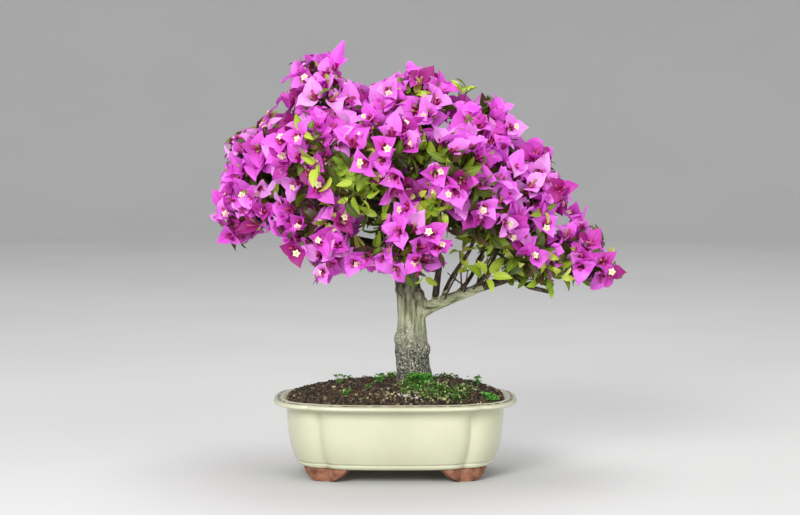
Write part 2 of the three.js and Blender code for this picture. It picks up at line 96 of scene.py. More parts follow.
# Many small things of a few faces each, joined into one mesh from arrays
class Heap:
    def __init__(self):
        self.points = []
        self.faces = []
        self.looks = []
        self.count = 0

    def add(self, points, faces, look):
        self.points.append(np.asarray(points))
        self.faces.extend([[corner + self.count for corner in face] for face in faces])
        self.looks.extend([look] * len(faces) if np.isscalar(look) else look)
        self.count += len(points)

    def mesh(self, name):
        mesh = bpy.data.meshes.new(name)
        mesh.from_pydata(np.concatenate(self.points).tolist(), [], self.faces)
        mesh.polygons.foreach_set("material_index", np.array(self.looks, np.int32))
        return mesh


# Colours and finishes
def paint(red, green, blue):
    def linear(value):
        value /= 255
        return value / 12.92 if value <= 0.04045 else ((value + 0.055) / 1.055) ** 2.4
    return linear(red), linear(green), linear(blue), 1


def startFinish(name, roughness):
    finish = bpy.data.materials.new(name)
    finish.use_nodes = True
    shader = finish.node_tree.nodes["Principled BSDF"]
    shader.inputs["Roughness"].default_value = roughness
    return finish, finish.node_tree.nodes, finish.node_tree.links.new, shader


def noiseOn(nodes, link, grain, stretch=(1, 1, 1), detail=4):
    place = nodes.new("ShaderNodeTexCoord")
    mapping = nodes.new("ShaderNodeMapping")
    mapping.inputs["Scale"].default_value = stretch
    pattern = nodes.new("ShaderNodeTexNoise")
    pattern.inputs["Scale"].default_value = grain
    pattern.inputs["Detail"].default_value = detail
    link(place.outputs["Object"], mapping.inputs["Vector"])
    link(mapping.outputs["Vector"], pattern.inputs["Vector"])
    return pattern.outputs["Fac"]


def rampOn(nodes, link, factor, stops):
    node = nodes.new("ShaderNodeValToRGB")
    elements = node.color_ramp.elements
    for k, (at, colour) in enumerate(stops):
        element = elements[k] if k < 2 else elements.new(at)
        element.position = at
        element.color = colour
    link(factor, node.inputs["Fac"])
    return node.outputs["Color"]


def bumpOn(nodes, link, height, shader, strength, distance):
    bump = nodes.new("ShaderNodeBump")
    bump.inputs["Strength"].default_value = strength
    bump.inputs["Distance"].default_value = distance
    link(height, bump.inputs["Height"])
    link(bump.outputs["Normal"], shader.inputs["Normal"])


def mottled(name, look):
    finish, nodes, link, shader = startFinish(name, look["roughness"])
    pattern = noiseOn(nodes, link, look["grain"], look.get("stretch", (1, 1, 1)))
    link(rampOn(nodes, link, pattern, look["stops"]), shader.inputs["Base Color"])
    height = noiseOn(nodes, link, look["bumpGrain"])
    bumpOn(nodes, link, height, shader, look["bump"], look["bumpDepth"])
    for socket, value in look.get("sockets", {}).items():
        shader.inputs[socket].default_value = value
    return finish


# A thin blade: a plain colour with a crinkled surface that lets some light through
def papery(name, colour, look):
    finish, nodes, link, shader = startFinish(name, look["roughness"])
    shader.inputs["Base Color"].default_value = colour
    height = noiseOn(nodes, link, look["grain"])
    bumpOn(nodes, link, height, shader, look["bump"], 0.001)
    glow = nodes.new("ShaderNodeBsdfTranslucent")
    glow.inputs["Color"].default_value = colour
    blend = nodes.new("ShaderNodeMixShader")
    blend.inputs["Fac"].default_value = look["through"]
    link(shader.outputs["BSDF"], blend.inputs[1])
    link(glow.outputs["BSDF"], blend.inputs[2])
    link(blend.outputs["Shader"], nodes["Material Output"].inputs["Surface"])
    return finish


# Pot
pot = {
    "centre": (-25, 0), "width": 268, "depth": 196, "height": 88, "squareness": 3,
    "footHeight": 15, "lipHeight": 7, "wallInset": 14, "baseInset": 27, "taper": 0.2, "tuck": 3.5,
    "bandHeight": 7, "bandStep": 2, "wall": 7, "floor": 7, "cove": 6, "lipSlope": 4,
    "creaseAt": 0.71, "creaseDepth": 6, "creaseWidth": 7.5, "creaseShape": 1.35, "lipCrease": 0.5,
    "drainRadius": 8, "drainSpacing": 100, "around": 420, "wallRings": 16,
}
wallTop = pot["height"] - pot["lipHeight"]
floorTop = pot["footHeight"] + pot["floor"]
creaseAngle = math.acos(pot["creaseAt"] ** (pot["squareness"] / 2))


def planPoint(angle, inset, crease=1.0):
    a = pot["width"] / 2 - inset
    b = pot["depth"] / 2 - inset
    square = pot["squareness"]
    cosine, sine = math.cos(angle), math.sin(angle)
    x = a * math.copysign(abs(cosine) ** (2 / square), cosine)
    y = b * math.copysign(abs(sine) ** (2 / square), sine)
    creaseX = a * pot["creaseAt"]
    creaseY = b * (1 - pot["creaseAt"] ** square) ** (1 / square)
    away = math.hypot(abs(x) - creaseX, abs(y) - creaseY)
    press = crease * pot["creaseDepth"] * math.exp(-((away / pot["creaseWidth"]) ** pot["creaseShape"]))
    normalX = math.copysign(abs(x / a) ** (square - 1), x) / a
    normalY = math.copysign(abs(y / b) ** (square - 1), y) / b
    size = math.hypot(normalX, normalY)
    return np.array([pot["centre"][0] + x - press * normalX / size,
                     pot["centre"][1] + y - press * normalY / size])


# Angles round the plan, evenly spaced along the rim
def planAngles(count):
    fine = np.linspace(0, 2 * math.pi, 4001)
    places = np.array([planPoint(angle, 0) for angle in fine])
    steps = np.linalg.norm(np.diff(places, axis=0), axis=1)
    run = np.concatenate([[0], np.cumsum(steps)])
    return np.interp(np.linspace(0, run[-1], count, endpoint=False), run, fine)


rimAngles = planAngles(pot["around"])


def planRing(z, inset, crease=1.0):
    places = [planPoint(angle, inset, crease) for angle in rimAngles]
    return [Vector((place[0], place[1], z)) for place in places]


def wallInset(z):
    down = (wallTop - z) / (wallTop - pot["footHeight"])
    drawn = pot["taper"] * down + (1 - pot["taper"]) * max(down, 0) ** pot["tuck"]
    return mix(pot["wallInset"], pot["baseInset"], drawn)


def innerRings(clearance):
    rings = [(floorTop, wallInset(floorTop) + pot["wall"] + clearance + pot["cove"])]
    for share in np.linspace(0.1, 1, 8):
        z = mix(floorTop, wallTop, share)
        rings.append((z, wallInset(z) + pot["wall"] + clearance))
    rings.append((pot["height"] - pot["lipSlope"], wallInset(wallTop) + pot["wall"] + clearance))
    return rings


def makePot():
    foot, base, top = pot["footHeight"], pot["baseInset"], pot["height"]
    bandTop = foot + pot["bandHeight"]
    proud = base - pot["bandStep"]
    lip = pot["lipCrease"]
    # rows of the profile: height, inset from the rim's outline, share of the crease's depth
    profile = [(foot, base + 4, 1), (foot, base + 1, 1), (foot + 0.6, base - 0.2, 1),
               (foot + 1.8, proud + 0.6, 1), (foot + 3.2, proud, 1), (foot + 4.6, proud + 0.1, 1),
               (foot + 5.8, proud + 0.7, 1), (bandTop - 0.5, wallInset(bandTop) + 0.2, 1)]
    for share in np.linspace(0.0, 1, pot["wallRings"]):
        z = mix(bandTop, wallTop - 1.2, share)
        profile.append((z, wallInset(z), 1))
    profile += [(wallTop - 0.2, 12.6, 0.95), (wallTop + 0.3, 9, 0.75), (wallTop + 0.4, 4.5, lip),
                (wallTop + 0.7, 2.4, lip), (wallTop + 1.4, 0.8, lip), (wallTop + 2.4, 0.1, lip),
                (wallTop + 3.4, 0, lip), (wallTop + 4.5, 0.5, lip), (wallTop + 5.3, 1.5, lip),
                (wallTop + 5.7, 2.8, lip), (wallTop + 5.8, 4.2, lip), (wallTop + 5.6, 5.5, lip),
                (wallTop + 5.6, 6.2, lip), (top - 0.7, 7.2, lip), (top - 0.2, 8.2, lip), (top, 9.2, lip),
                (top - 0.2, 10.4, lip), (top - 0.9, 11.6, lip), (top - 1.6, 13, 0.6), (top - 2.8, 16.5, 0.8)]
    # the groove along the lip, where the glaze is worn and painted darker as the shade that falls in the
    # groove
    wornAndShadedRings = range(len(profile) - 10, len(profile) - 7)
    profile += [(z, inset, 1) for z, inset in reversed(innerRings(0))]
    bm = bmesh.new()
    loftRings(bm, [planRing(*row) for row in profile])
    bm.faces.ensure_lookup_table()
    for face in bm.faces:
        face.material_index = 1 if face.index // pot["around"] in wornAndShadedRings else 0
    # drain holes: two short walls, then the underside and the floor are filled round them
    openings = {foot: [], floorTop: []}
    for edge in bm.edges:
        if edge.is_boundary:
            openings[foot if edge.verts[0].co.z < foot + 1 else floorTop].append(edge)
    for side in (-1, 1):
        place = (pot["centre"][0] + side * pot["drainSpacing"] / 2, pot["centre"][1])
        walls = []
        for z in (foot, floorTop):
            made = bmesh.ops.create_circle(bm, segments=32, radius=pot["drainRadius"],
                                           matrix=Matrix.Translation((*place, z)))
            edges = list({edge for vert in made["verts"] for edge in vert.link_edges})
            openings[z] += edges
            walls += edges
        bmesh.ops.bridge_loops(bm, edges=walls)
    for edges in openings.values():
        bmesh.ops.triangle_fill(bm, edges=edges, use_beauty=True)
    bmesh.ops.recalc_face_normals(bm, faces=bm.faces)
    glaze = mottled("creamGlaze", {
        "stops": [(0.3, paint(196, 196, 166)), (0.52, paint(204, 205, 175)), (0.72, paint(210, 210, 182))],
        "grain": 14, "roughness": 0.24, "bump": 0.12, "bumpDepth": 0.002, "bumpGrain": 90,
        "sockets": {"Coat Weight": 0.35, "Coat Roughness": 0.12}})
    # glaze in the lip's groove: its dark brown is partly wear and partly painted shade
    wornAndShaded = mottled("wornGlazeAndShade", {
        "stops": [(0.36, paint(96, 76, 52)), (0.48, paint(134, 118, 88)), (0.62, paint(186, 180, 150))],
        "grain": 130, "roughness": 0.4, "bump": 0.3, "bumpDepth": 0.001, "bumpGrain": 260})
    addPiece("lobedPot", meshOf(bm, "lobedPot"), [glaze, wornAndShaded], ["pot"])


# Feet
foot = {"span": 59, "flat": 11, "thickness": 15, "narrowing": 0.8, "shift": 6, "end": 1.5, "curve": 2,
        "inset": 28.5, "lean": 0.12, "stations": 44, "gap": 0.3, "edge": 0.9}


# The point of an outline at a distance from the crease, to either hand of it
def walkOutline(corner, inset, distance):
    hand = -1 if distance < 0 else 1
    places = np.array([planPoint(corner + hand * step, inset) for step in np.linspace(0, 1, 90)])
    steps = np.linalg.norm(np.diff(places, axis=0), axis=1)
    run = np.concatenate([[0], np.cumsum(steps)])
    return np.array([np.interp(abs(distance), run, places[:, axis]) for axis in (0, 1)])


def footRing(corner, share, shift):
    top = pot["footHeight"] - foot["gap"]
    along = foot["span"] * (share - 0.5)
    past = max(0, abs(along) - foot["flat"] / 2) / (foot["span"] / 2 - foot["flat"] / 2)
    bottom = (top - foot["end"]) * past ** foot["curve"]
    out = walkOutline(corner, foot["inset"], along + shift)
    back = walkOutline(corner, foot["inset"] + foot["thickness"], along * foot["narrowing"] + shift)
    low = mix(out, back, foot["lean"] * (1 - past))
    return [Vector((*low, bottom)), Vector((*back, bottom)), Vector((*back, top)), Vector((*out, top))]


def makeFeet():
    # bare clay in tones darkened to paint the shade under the pot
    clayAndShade = mottled("bareClayAndShade", {
        "stops": [(0.3, paint(94, 58, 42)), (0.5, paint(142, 92, 69)), (0.68, paint(164, 117, 91))],
        "grain": 120, "roughness": 0.85, "bump": 0.5, "bumpDepth": 0.001, "bumpGrain": 420})
    for row, sideY in (("front", -1), ("back", 1)):
        for hand, sideX in (("left", -1), ("right", 1)):
            corner = math.atan2(sideY * math.sin(creaseAngle), sideX * math.cos(creaseAngle))
            shift = -sideX * sideY * foot["shift"]
            bm = bmesh.new()
            shares = np.linspace(0, 1, foot["stations"] + 1)
            loftRings(bm, [footRing(corner, share, shift) for share in shares])
            capHoles(bm)
            bmesh.ops.recalc_face_normals(bm, faces=bm.faces)
            sharp = [edge for edge in bm.edges if edge.calc_face_angle(0) > 0.8]
            bmesh.ops.bevel(bm, geom=sharp, offset=foot["edge"], segments=3, profile=0.5,
                            affect="EDGES", material=-1, clamp_overlap=True)
            name = f"{row}{hand.capitalize()}Foot"
            addPiece(name, meshOf(bm, name), [clayAndShade], [f"foot_{row}_{hand}"])


# Soil
soil = {
    "height": 103, "padRadius": 24, "rings": 26, "slack": 1, "gap": 0.3, "middle": (-4, 8), "shore": 14.5,
    "curve": 3.2, "sunk": 1.2, "lump": 0.9, "broadLump": 14, "fineLump": 5, "seed": 11,
    "grains": 6400, "grainLow": 1.0, "grainHigh": 3.1, "grainSkew": 1.8, "crumbsFrom": 0.7, "crumbsClear": 1,
    # dark and light colour of each kind of crumb, and how common it is
    "crumbs": {"dark": ((20, 16, 11), (42, 34, 24), 42), "brown": ((46, 38, 25), (80, 66, 45), 32),
               "red": ((70, 48, 34), (106, 76, 54), 10), "grey": ((68, 64, 50), (106, 100, 80), 12),
               "tan": ((112, 98, 70), (162, 144, 108), 7), "rust": ((92, 60, 42), (128, 90, 64), 3)},
}
soilEdge = pot["height"] - 1
shoreRing = np.array(planRing(soilEdge, soil["shore"]))
shoreAway = shoreRing[:, :2] - np.array(soil["middle"])
shoreTurn = np.arctan2(shoreAway[:, 1], shoreAway[:, 0])
shoreOrder = np.argsort(shoreTurn)
shoreReach = np.linalg.norm(shoreAway, axis=1)


# The soil's height at a place: a lumpy mound that meets the lip at its shore
def soilTop(x, y):
    away = np.array([x, y]) - np.array(soil["middle"])
    turn = math.atan2(away[1], away[0])
    far = np.interp(turn, shoreTurn[shoreOrder], shoreReach[shoreOrder], period=2 * math.pi)
    share = np.clip((far - np.linalg.norm(away)) / (far - soil["padRadius"]), 0, 1)
    rise = 1 - (1 - share) ** soil["curve"]
    z = mix(soilEdge, soil["height"] - soil["gap"], rise)
    broad = noise.noise(Vector((x / soil["broadLump"], y / soil["broadLump"], 3)))
    fine = noise.noise(Vector((x / soil["fineLump"], y / soil["fineLump"], 9)))
    lump = broad + 0.5 * fine
    return z - soil["sunk"] * min(1, 6 * share) + soil["lump"] * lump * min(1, 4 * share)


# A random place on the soil, evenly over its plan, clear of the trunk and the lip
def soilPlace(draw):
    while True:
        x = draw.uniform(shoreRing[:, 0].min(), shoreRing[:, 0].max())
        y = draw.uniform(shoreRing[:, 1].min(), shoreRing[:, 1].max())
        turn = math.atan2(y - soil["middle"][1], x - soil["middle"][0])
        far = np.interp(turn, shoreTurn[shoreOrder], shoreReach[shoreOrder], period=2 * math.pi)
        reach = math.hypot(x - soil["middle"][0], y - soil["middle"][1])
        if soil["padRadius"] * soil["crumbsFrom"] < reach < far - soil["crumbsClear"]:
            return x, y


def pebbleShape(detail):
    bm = bmesh.new()
    bmesh.ops.create_icosphere(bm, subdivisions=detail, radius=1)
    points = np.array([vert.co[:] for vert in bm.verts])
    faces = [[vert.index for vert in face.verts] for face in bm.faces]
    bm.free()
    return points, faces


def turned(draw):
    angles = [draw.uniform(0, 2 * math.pi) for _ in range(3)]
    spin = Matrix.Identity(3)
    for angle, axis in zip(angles, "XYZ"):
        spin = spin @ Matrix.Rotation(angle, 3, axis)
    return np.array(spin)


def makeSoil():
    below = innerRings(soil["slack"])
    below[0] = (below[0][0] + soil["gap"], below[0][1])
    rings = [planRing(z, inset) for z, inset in below] + [[Vector(place) for place in shoreRing]]
    for share in np.linspace(0, 1, soil["rings"])[1:]:
        ring = []
        for away in shoreAway:
            reach = np.linalg.norm(away)
            place = np.array(soil["middle"]) + away * mix(reach, soil["padRadius"], share) / reach
            ring.append(Vector((*place, soilTop(*place))))
        rings.append(ring)
    bm = bmesh.new()
    loftRings(bm, rings)
    capHoles(bm)
    bmesh.ops.recalc_face_normals(bm, faces=bm.faces)
    bed = mottled("soilBed", {
        "stops": [(0.32, paint(34, 27, 20)), (0.5, paint(64, 51, 38)), (0.66, paint(92, 74, 55))],
        "grain": 320, "roughness": 0.95, "bump": 0.9, "bumpDepth": 0.002, "bumpGrain": 420})
    addPiece("soilMound", meshOf(bm, "soilMound"), [bed], ["soil"])


# Crumbs strewn over the mound
def makeCrumbs():
    draw = random.Random(soil["seed"])
    crumbs = soil["crumbs"]
    finishes = [mottled(f"{kind}Crumb", {
        "stops": [(0.36, paint(*low)), (0.64, paint(*high))], "grain": 700, "roughness": 0.93,
        "bump": 0.7, "bumpDepth": 0.001, "bumpGrain": 900}) for kind, (low, high, _) in crumbs.items()]
    weights = [weight for _, _, weight in crumbs.values()]
    points, faces = pebbleShape(1)
    heap = Heap()
    for _ in range(soil["grains"]):
        x, y = soilPlace(draw)
        size = mix(soil["grainLow"], soil["grainHigh"], draw.random() ** soil["grainSkew"])
        stretch = np.array([draw.uniform(0.75, 1.25), draw.uniform(0.75, 1.25), draw.uniform(0.6, 1)])
        rough = np.array([draw.uniform(0.78, 1.12) for _ in points])[:, None]
        place = np.array([x, y, soilTop(x, y) - 0.1 * size])
        grain = (points * rough * stretch * size) @ turned(draw).T + place
        heap.add(grain, faces, draw.choices(range(len(crumbs)), weights)[0])
    addPiece("soilCrumbs", heap.mesh("soilCrumbs"), finishes)


# Stones and small green things on the soil
litter = {
    "seed": 23, "sprouts": 1000, "blades": 3400,
    # place and size of each stone
    "stones": [((-13, -70), 3.4), ((27, -74), 2.8), ((-2, -73), 2.2), ((-28, -66), 1.8), ((62, -38), 2.2),
               ((-92, -30), 2.4), ((-60, 52), 2.6), ((34, 60), 2.3), ((78, 20), 2.0)],
    "stoneShape": (1.2, 0.95, 0.7),
    # number of grains of grit, their middle and spread along x and y, and how far forward they may lie
    "grit": 90, "gritX": (6, 24), "gritY": (-67, 7), "gritEdge": -78,
    # place, spread, density and height of each tuft
    "tufts": [
        ((-5, -19), 7, 8, 2.2), ((8, -20), 7, 7, 2.0), ((-16, -24), 6, 1.2, 1), ((14, -36), 11, 2.2, 1),
        ((2, -52), 12, 1.1, 1), ((28, -50), 15, 1.3, 1), ((-12, -36), 7, 0.8, 1), ((44, -58), 12, 0.9, 1),
        ((52, -42), 14, 0.6, 1), ((78, -54), 6, 2.2, 1.2), ((-86, 2), 3, 3, 1.9), ((-43, -3), 4, 3, 1.7),
        ((-78, -60), 4, 2.2, 1.3), ((-53, -46), 4, 1.2, 1), ((66, 6), 4, 2, 1.6), ((12, -67), 10, 2, 1),
        ((-12, -62), 9, 1.4, 1), ((38, -67), 10, 1.2, 1), ((-26, 44), 14, 1, 1), ((34, 44), 14, 0.9, 1),
        ((-80, 40), 8, 0.8, 1),
    ],
    "brightAbove": 1.1,    # taller tufts are bright
    # outline of a round leaflet: along and across
    "leaflet": [(0.1, 0), (0.45, -0.85), (0.85, -0.95), (1.1, -0.3), (1.1, 0.3), (0.85, 0.95), (0.45, 0.85)],
    "mosses": {"deepMoss": (64, 92, 40), "midMoss": (122, 156, 74), "brightMoss": (110, 200, 80),
               "paleSprout": (204, 210, 146)},
}


def makeStones(draw):
    points, faces = pebbleShape(2)
    stones = Heap()
    for k, ((x, y), size) in enumerate(litter["stones"]):
        rough = np.array([draw.uniform(0.9, 1.06) for _ in points])[:, None]
        stretch = np.array(litter["stoneShape"]) * size
        place = np.array([x, y, soilTop(x, y) + 0.9 + 0.35 * size])
        spin = np.array(Matrix.Rotation(draw.uniform(*anyTurn), 3, "Z"))
        stones.add((points * rough * stretch) @ spin.T + place, faces, k % 2)
    # grit among the moss
    points, faces = pebbleShape(1)
    for _ in range(litter["grit"]):
        x, y = draw.gauss(*litter["gritX"]), draw.gauss(*litter["gritY"])
        if y < litter["gritEdge"]:
            continue
        size = draw.uniform(0.9, 1.9)
        rough = np.array([draw.uniform(0.85, 1.1) for _ in points])[:, None]
        place = np.array([x, y, soilTop(x, y) + 1.2])
        stones.add((points * rough * size) @ turned(draw).T + place, faces, draw.choices((0, 1), (2, 3))[0])
    look = {"grain": 300, "roughness": 0.8, "bump": 0.4, "bumpDepth": 0.001, "bumpGrain": 500}
    pale = [(0.35, paint(150, 143, 128)), (0.62, paint(208, 202, 188))]
    ochre = [(0.35, paint(128, 120, 80)), (0.62, paint(190, 184, 132))]
    finishes = [mottled("paleStone", {**look, "stops": pale}),
                mottled("ochreStone", {**look, "stops": ochre})]
    addPiece("soilStones", stones.mesh("soilStones"), finishes)


# A place in one of the tufts, and the tuft's height
def tuftPlace(draw):
    weights = [spread * spread * dense for _, spread, dense, _ in litter["tufts"]]
    (x, y), spread, _, tall = draw.choices(litter["tufts"], weights)[0]
    return x + draw.gauss(0, spread / 2), y + draw.gauss(0, spread / 2), tall


# A short blade with a keel
def addMossBlade(heap, draw):
    x, y, tall = tuftPlace(draw)
    root = np.array([x, y, soilTop(x, y) + tall * draw.uniform(0.4, 1.8)])
    lean = np.array([draw.gauss(0, 0.6), draw.gauss(0, 0.6), 1.0])
    across, _ = sidesOf(unit(lean))
    long = draw.uniform(1.4, 3.2)
    wide = draw.uniform(0.4, 0.8)
    tip = root + unit(lean) * long
    keel = mix(root, tip, 0.5) + np.array([0, 0, -0.2])
    bright = tall > litter["brightAbove"]
    look = draw.choices((0, 1, 2), (1, 3, 5) if bright else (6, 4, 1))[0]
    heap.add([root, keel - across * wide, tip, keel + across * wide, keel],
             [(0, 4, 1), (1, 4, 2), (2, 4, 3), (3, 4, 0)], look)


# Three round leaflets on a thin stalk
def addSprout(heap, draw):
    x, y, tall = tuftPlace(draw)
    root = np.array([x, y, soilTop(x, y)])
    head = root + np.array([draw.gauss(0, 1.5), draw.gauss(0, 1.5), tall * draw.uniform(1.5, 5)])
    bright = tall > litter["brightAbove"]
    look = draw.choices((0, 1, 2, 3), (1, 2, 5, 1) if bright else (4, 5, 1, 2.5))[0]
    turn = draw.uniform(*anyTurn)
    corners = len(litter["leaflet"])
    fan = [(corners, k, (k + 1) % corners) for k in range(corners)]
    for leaflet in range(3):
        angle = turn + 2 * math.pi * leaflet / 3
        out = np.array([math.cos(angle), math.sin(angle), draw.uniform(0.1, 1.2)])
        side = np.array([-math.sin(angle), math.cos(angle), 0])
        size = draw.uniform(1.8, 3.2) if bright else draw.uniform(1.1, 2.4)
        rim = [head + out * size * along + side * size * 0.5 * width for along, width in litter["leaflet"]]
        middle = head + out * size * 0.6 + np.array([0, 0, -0.35])
        heap.add([*rim, middle], fan, look)
    base = [root + 0.3 * np.array([math.cos(a), math.sin(a), 0]) for a in (0, 2.1, 4.2)]
    heap.add([*base, head], [(0, 1, 3), (1, 2, 3), (2, 0, 3)], 1)


def makeLitter():
    draw = random.Random(litter["seed"])
    makeStones(draw)
    green = Heap()
    for _ in range(litter["blades"]):
        addMossBlade(green, draw)
    for _ in range(litter["sprouts"]):
        addSprout(green, draw)
    look = {"roughness": 0.6, "grain": 900, "bump": 0.3, "through": 0.25}
    mosses = [papery(name, paint(*tone), look) for name, tone in litter["mosses"].items()]
    addPiece("mossAndSprouts", green.mesh("mossAndSprouts"), mosses)


# The limbs: the trunk and the boughs, by the same rule as the solids
trunk = {
    # height above the soil, place of the axis and radius
    "stations": [(0, -4, 8, 17.5), (36, -8, 6, 17.6), (68, -8, 5, 15), (109, -12, 5, 13.3),
                 (158, -19, 5, 11.5)],
    "flareRise": 10, "flareOut": 3, "fluting": 0.05, "sunk": 4,
    # the cleft below the fork: its depth, where along the trunk it opens, and its width as an angle
    "cleft": 0.3, "cleftFrom": 0.7, "cleftRise": 0.25, "cleftWidth": 0.3,
}
bough = {"share": 0.72, "least": 2.6, "tip": 2.2, "reach": 0.8, "follow": 0.45, "lift": 0, "rise": 0.3}
boughShapes = {
    "leader": {"radius": 9.5, "tip": 4},
    "bough_left": {"radius": 8.5, "tip": 3.2, "follow": 0.3},
    "bough_right": {"radius": 7.8, "tip": 2.8, "follow": 0.08, "rise": -0.12},
    "bough_back": {"radius": 7, "tip": 2.8, "follow": 0.3},
    "bough_front_right": {"radius": 2.3, "lift": 2},
    "bough_right_side": {"radius": 2.4},
    "bough_low_right": {"radius": 2.2},
    "bough_back_low_right": {"radius": 2.6},
}
wood = {
    "voxel": 0.95, "clear": 0.5,
    # sides, spacing of the rings and depth of the bark's relief
    "trunkRings": (96, 1.2, 0.8), "thickRings": (40, 2, 0.35), "thinRings": (20, 2, 0.35),
    "twigRings": (12, 2, 0.15), "thickFrom": 6,
    "collar": 0.5, "collarShare": 0.1,    # swelling where the low bough leaves the trunk
    # plates of bark that lift low on the trunk, and the grain all over
    "plate": 0.7, "platesTo": 190, "platesFade": 60, "grain": 0.3,
    # old bark's share of the low bough, and its reach from a limb's axis: a share of the radius and a margin
    "oldShare": 0.45, "oldGirth": 1.3, "oldMargin": 4, "oldSamples": 60,
}


# A mass of foliage fills an ellipsoid, and its bough leaves a limb at a share of that limb
class Mass:
    def __init__(self, name, source, share, centre, radii, boughName=None,
                 leafy=0.03, spacing=14.5, scale=1.0):
        self.name = name
        self.source = source
        self.share = share
        self.centre = np.array(centre, float)
        self.radii = np.array(radii, float)
        self.boughName = boughName or f"bough_{name}"
        self.leafy = leafy
        self.spacing = spacing * scale
        self.scale = scale

    def depth(self, point):
        return np.linalg.norm((point - self.centre) / self.radii)

    def ownSide(self, other, point):
        across = other.centre - self.centre
        plane = np.linalg.norm(across) * self.radii.mean() / (self.radii.mean() + other.radii.mean())
        return plane - (point - self.centre) @ unit(across)

    def holds(self, point, clear):
        return self.depth(point) <= 1 and all(
            other is self or self.ownSide(other, point) > clear for other in masses)


masses = [
    Mass("peak_middle", "trunk", 0.933, (-10, 4, 402), (57, 58, 56), "leader"),
    Mass("lower_left", "trunk", 0.846, (-178, -8, 292), (52, 58, 50), "bough_left", scale=0.92),
    Mass("tip_right", "trunk", 0.461, (188, 0, 241), (48, 46, 36), "bough_right", spacing=12.5),
    Mass("back_upper", "trunk", 0.923, (-58, 100, 368), (58, 60, 54), "bough_back"),
    Mass("peak_left", "leader", 0.3, (-101, -5, 421), (49, 55, 60)),
    Mass("shoulder_right", "leader", 0.4, (65, 0, 372), (52, 57, 53)),
    Mass("upper_left", "bough_left", 0.45, (-168, 0, 355), (50, 58, 51), scale=0.92),
    Mass("front_upper_left", "leader", 0.16, (-113, -85, 356), (52, 60, 50)),
    Mass("front_upper", "leader", 0.55, (-36, -102, 356), (52, 58, 50)),
    Mass("front_upper_right", "leader", 0.24, (38, -95, 338), (52, 58, 48)),
    Mass("front_low_left", "bough_left", 0.3, (-106, -65, 269), (54, 60, 58)),
    Mass("front_low", "trunk", 0.731, (-18, -95, 262), (55, 60, 50), leafy=0.06),
    Mass("front_right", "bough_right", 0.22, (73, -65, 289), (50, 55, 44), leafy=0.06),
    Mass("right_side", "bough_right", 0.42, (120, 0, 322), (56, 56, 52)),
    Mass("low_right", "bough_right", 0.62, (118, -35, 243), (42, 42, 36), leafy=0.14, spacing=13),
    Mass("back_left", "bough_left", 0.6, (-160, 85, 322), (55, 60, 56)),
    Mass("back_right", "bough_back", 0.35, (60, 95, 338), (58, 62, 54)),
    Mass("back_low", "bough_back", 0.2, (-54, 95, 272), (56, 62, 48), leafy=0.2),
    Mass("back_low_right", "bough_right", 0.28, (92, 75, 266), (54, 56, 46), leafy=0.2),
]
massCentres = np.array([mass.centre for mass in masses])
massRadii = np.array([mass.radii for mass in masses])


class Limb:
    def __init__(self, line, radius):
        self.line = line
        steps = np.linalg.norm(np.diff(line, axis=0), axis=1)
        self.run = np.concatenate([[0], np.cumsum(steps)])
        self.radius = radius          # at a share of the length

    def at(self, share):
        return np.array([np.interp(share * self.run[-1], self.run, self.line[:, axis]) for axis in range(3)])

    def along(self, share):
        return unit(self.at(min(1, share + 0.01)) - self.at(max(0, share - 0.01)))


def trunkLine(places, samples=60):
    places = [2 * places[0] - places[1], *places, 2 * places[-1] - places[-2]]
    line = []
    for p0, p1, p2, p3 in zip(places, places[1:], places[2:], places[3:]):
        d0, d1, d2 = [math.sqrt(np.linalg.norm(b - a)) for a, b in ((p0, p1), (p1, p2), (p2, p3))]
        out = d1 * ((p1 - p0) / d0 - (p2 - p0) / (d0 + d1) + (p2 - p1) / d1)
        into = d1 * ((p2 - p1) / d1 - (p3 - p1) / (d1 + d2) + (p3 - p2) / d2)
        for t in np.linspace(0, 1, samples, endpoint=False):
            line.append((2 * t**3 - 3 * t**2 + 1) * p1 + (t**3 - 2 * t**2 + t) * out
                        + (3 * t**2 - 2 * t**3) * p2 + (t**3 - t**2) * into)
    return np.array([*line, places[-2]])


def bezierLine(a, b, c, d, samples=60):
    t = np.linspace(0, 1, samples)[:, None]
    return (1 - t) ** 3 * a + 3 * (1 - t) ** 2 * t * b + 3 * (1 - t) * t**2 * c + t**3 * d


def growTrunk():
    rises = [station[0] for station in trunk["stations"]]
    radii = [station[3] for station in trunk["stations"]]
    places = [np.array([x, y, soil["height"] + rise]) for rise, x, y, _ in trunk["stations"]]

    def radius(share):
        rise = share * rises[-1]
        return np.interp(rise, rises, radii) + trunk["flareOut"] * math.exp(-rise / trunk["flareRise"])
    return Limb(trunkLine(places), radius)


def entryPoint(mass, start, reach):
    way = start - mass.centre
    return mass.centre + way * reach / max(mass.depth(start), reach)


def growBough(mass, limbs):
    shape = {**bough, **boughShapes.get(mass.boughName, {})}
    parent = limbs[mass.source]
    start = parent.at(mass.share)
    reach = shape["reach"]
    tip = entryPoint(mass, start, reach)
    while reach > 0.1 and not mass.holds(tip, 2 * wood["clear"]):
        reach -= 0.05
        tip = entryPoint(mass, start, reach)
    length = np.linalg.norm(tip - start)
    toTip = (tip - start) / length
    leave = unit(mix(toTip, parent.along(mass.share), shape["follow"]) + shape["lift"] * up)
    enter = unit(toTip + shape["rise"] * up)
    line = bezierLine(start, start + 0.4 * length * leave, tip - 0.35 * length * enter, tip)
    thick = shape.get("radius") or max(shape["least"], shape["share"] * parent.radius(mass.share))
    thin = min(shape["tip"], thick)
    return Limb(line, lambda share: mix(thick, thin, share**0.8))


limbs = {"trunk": growTrunk()}
for mass in masses:
    mass.bough = growBough(mass, limbs)
    limbs[mass.boughName] = mass.bough


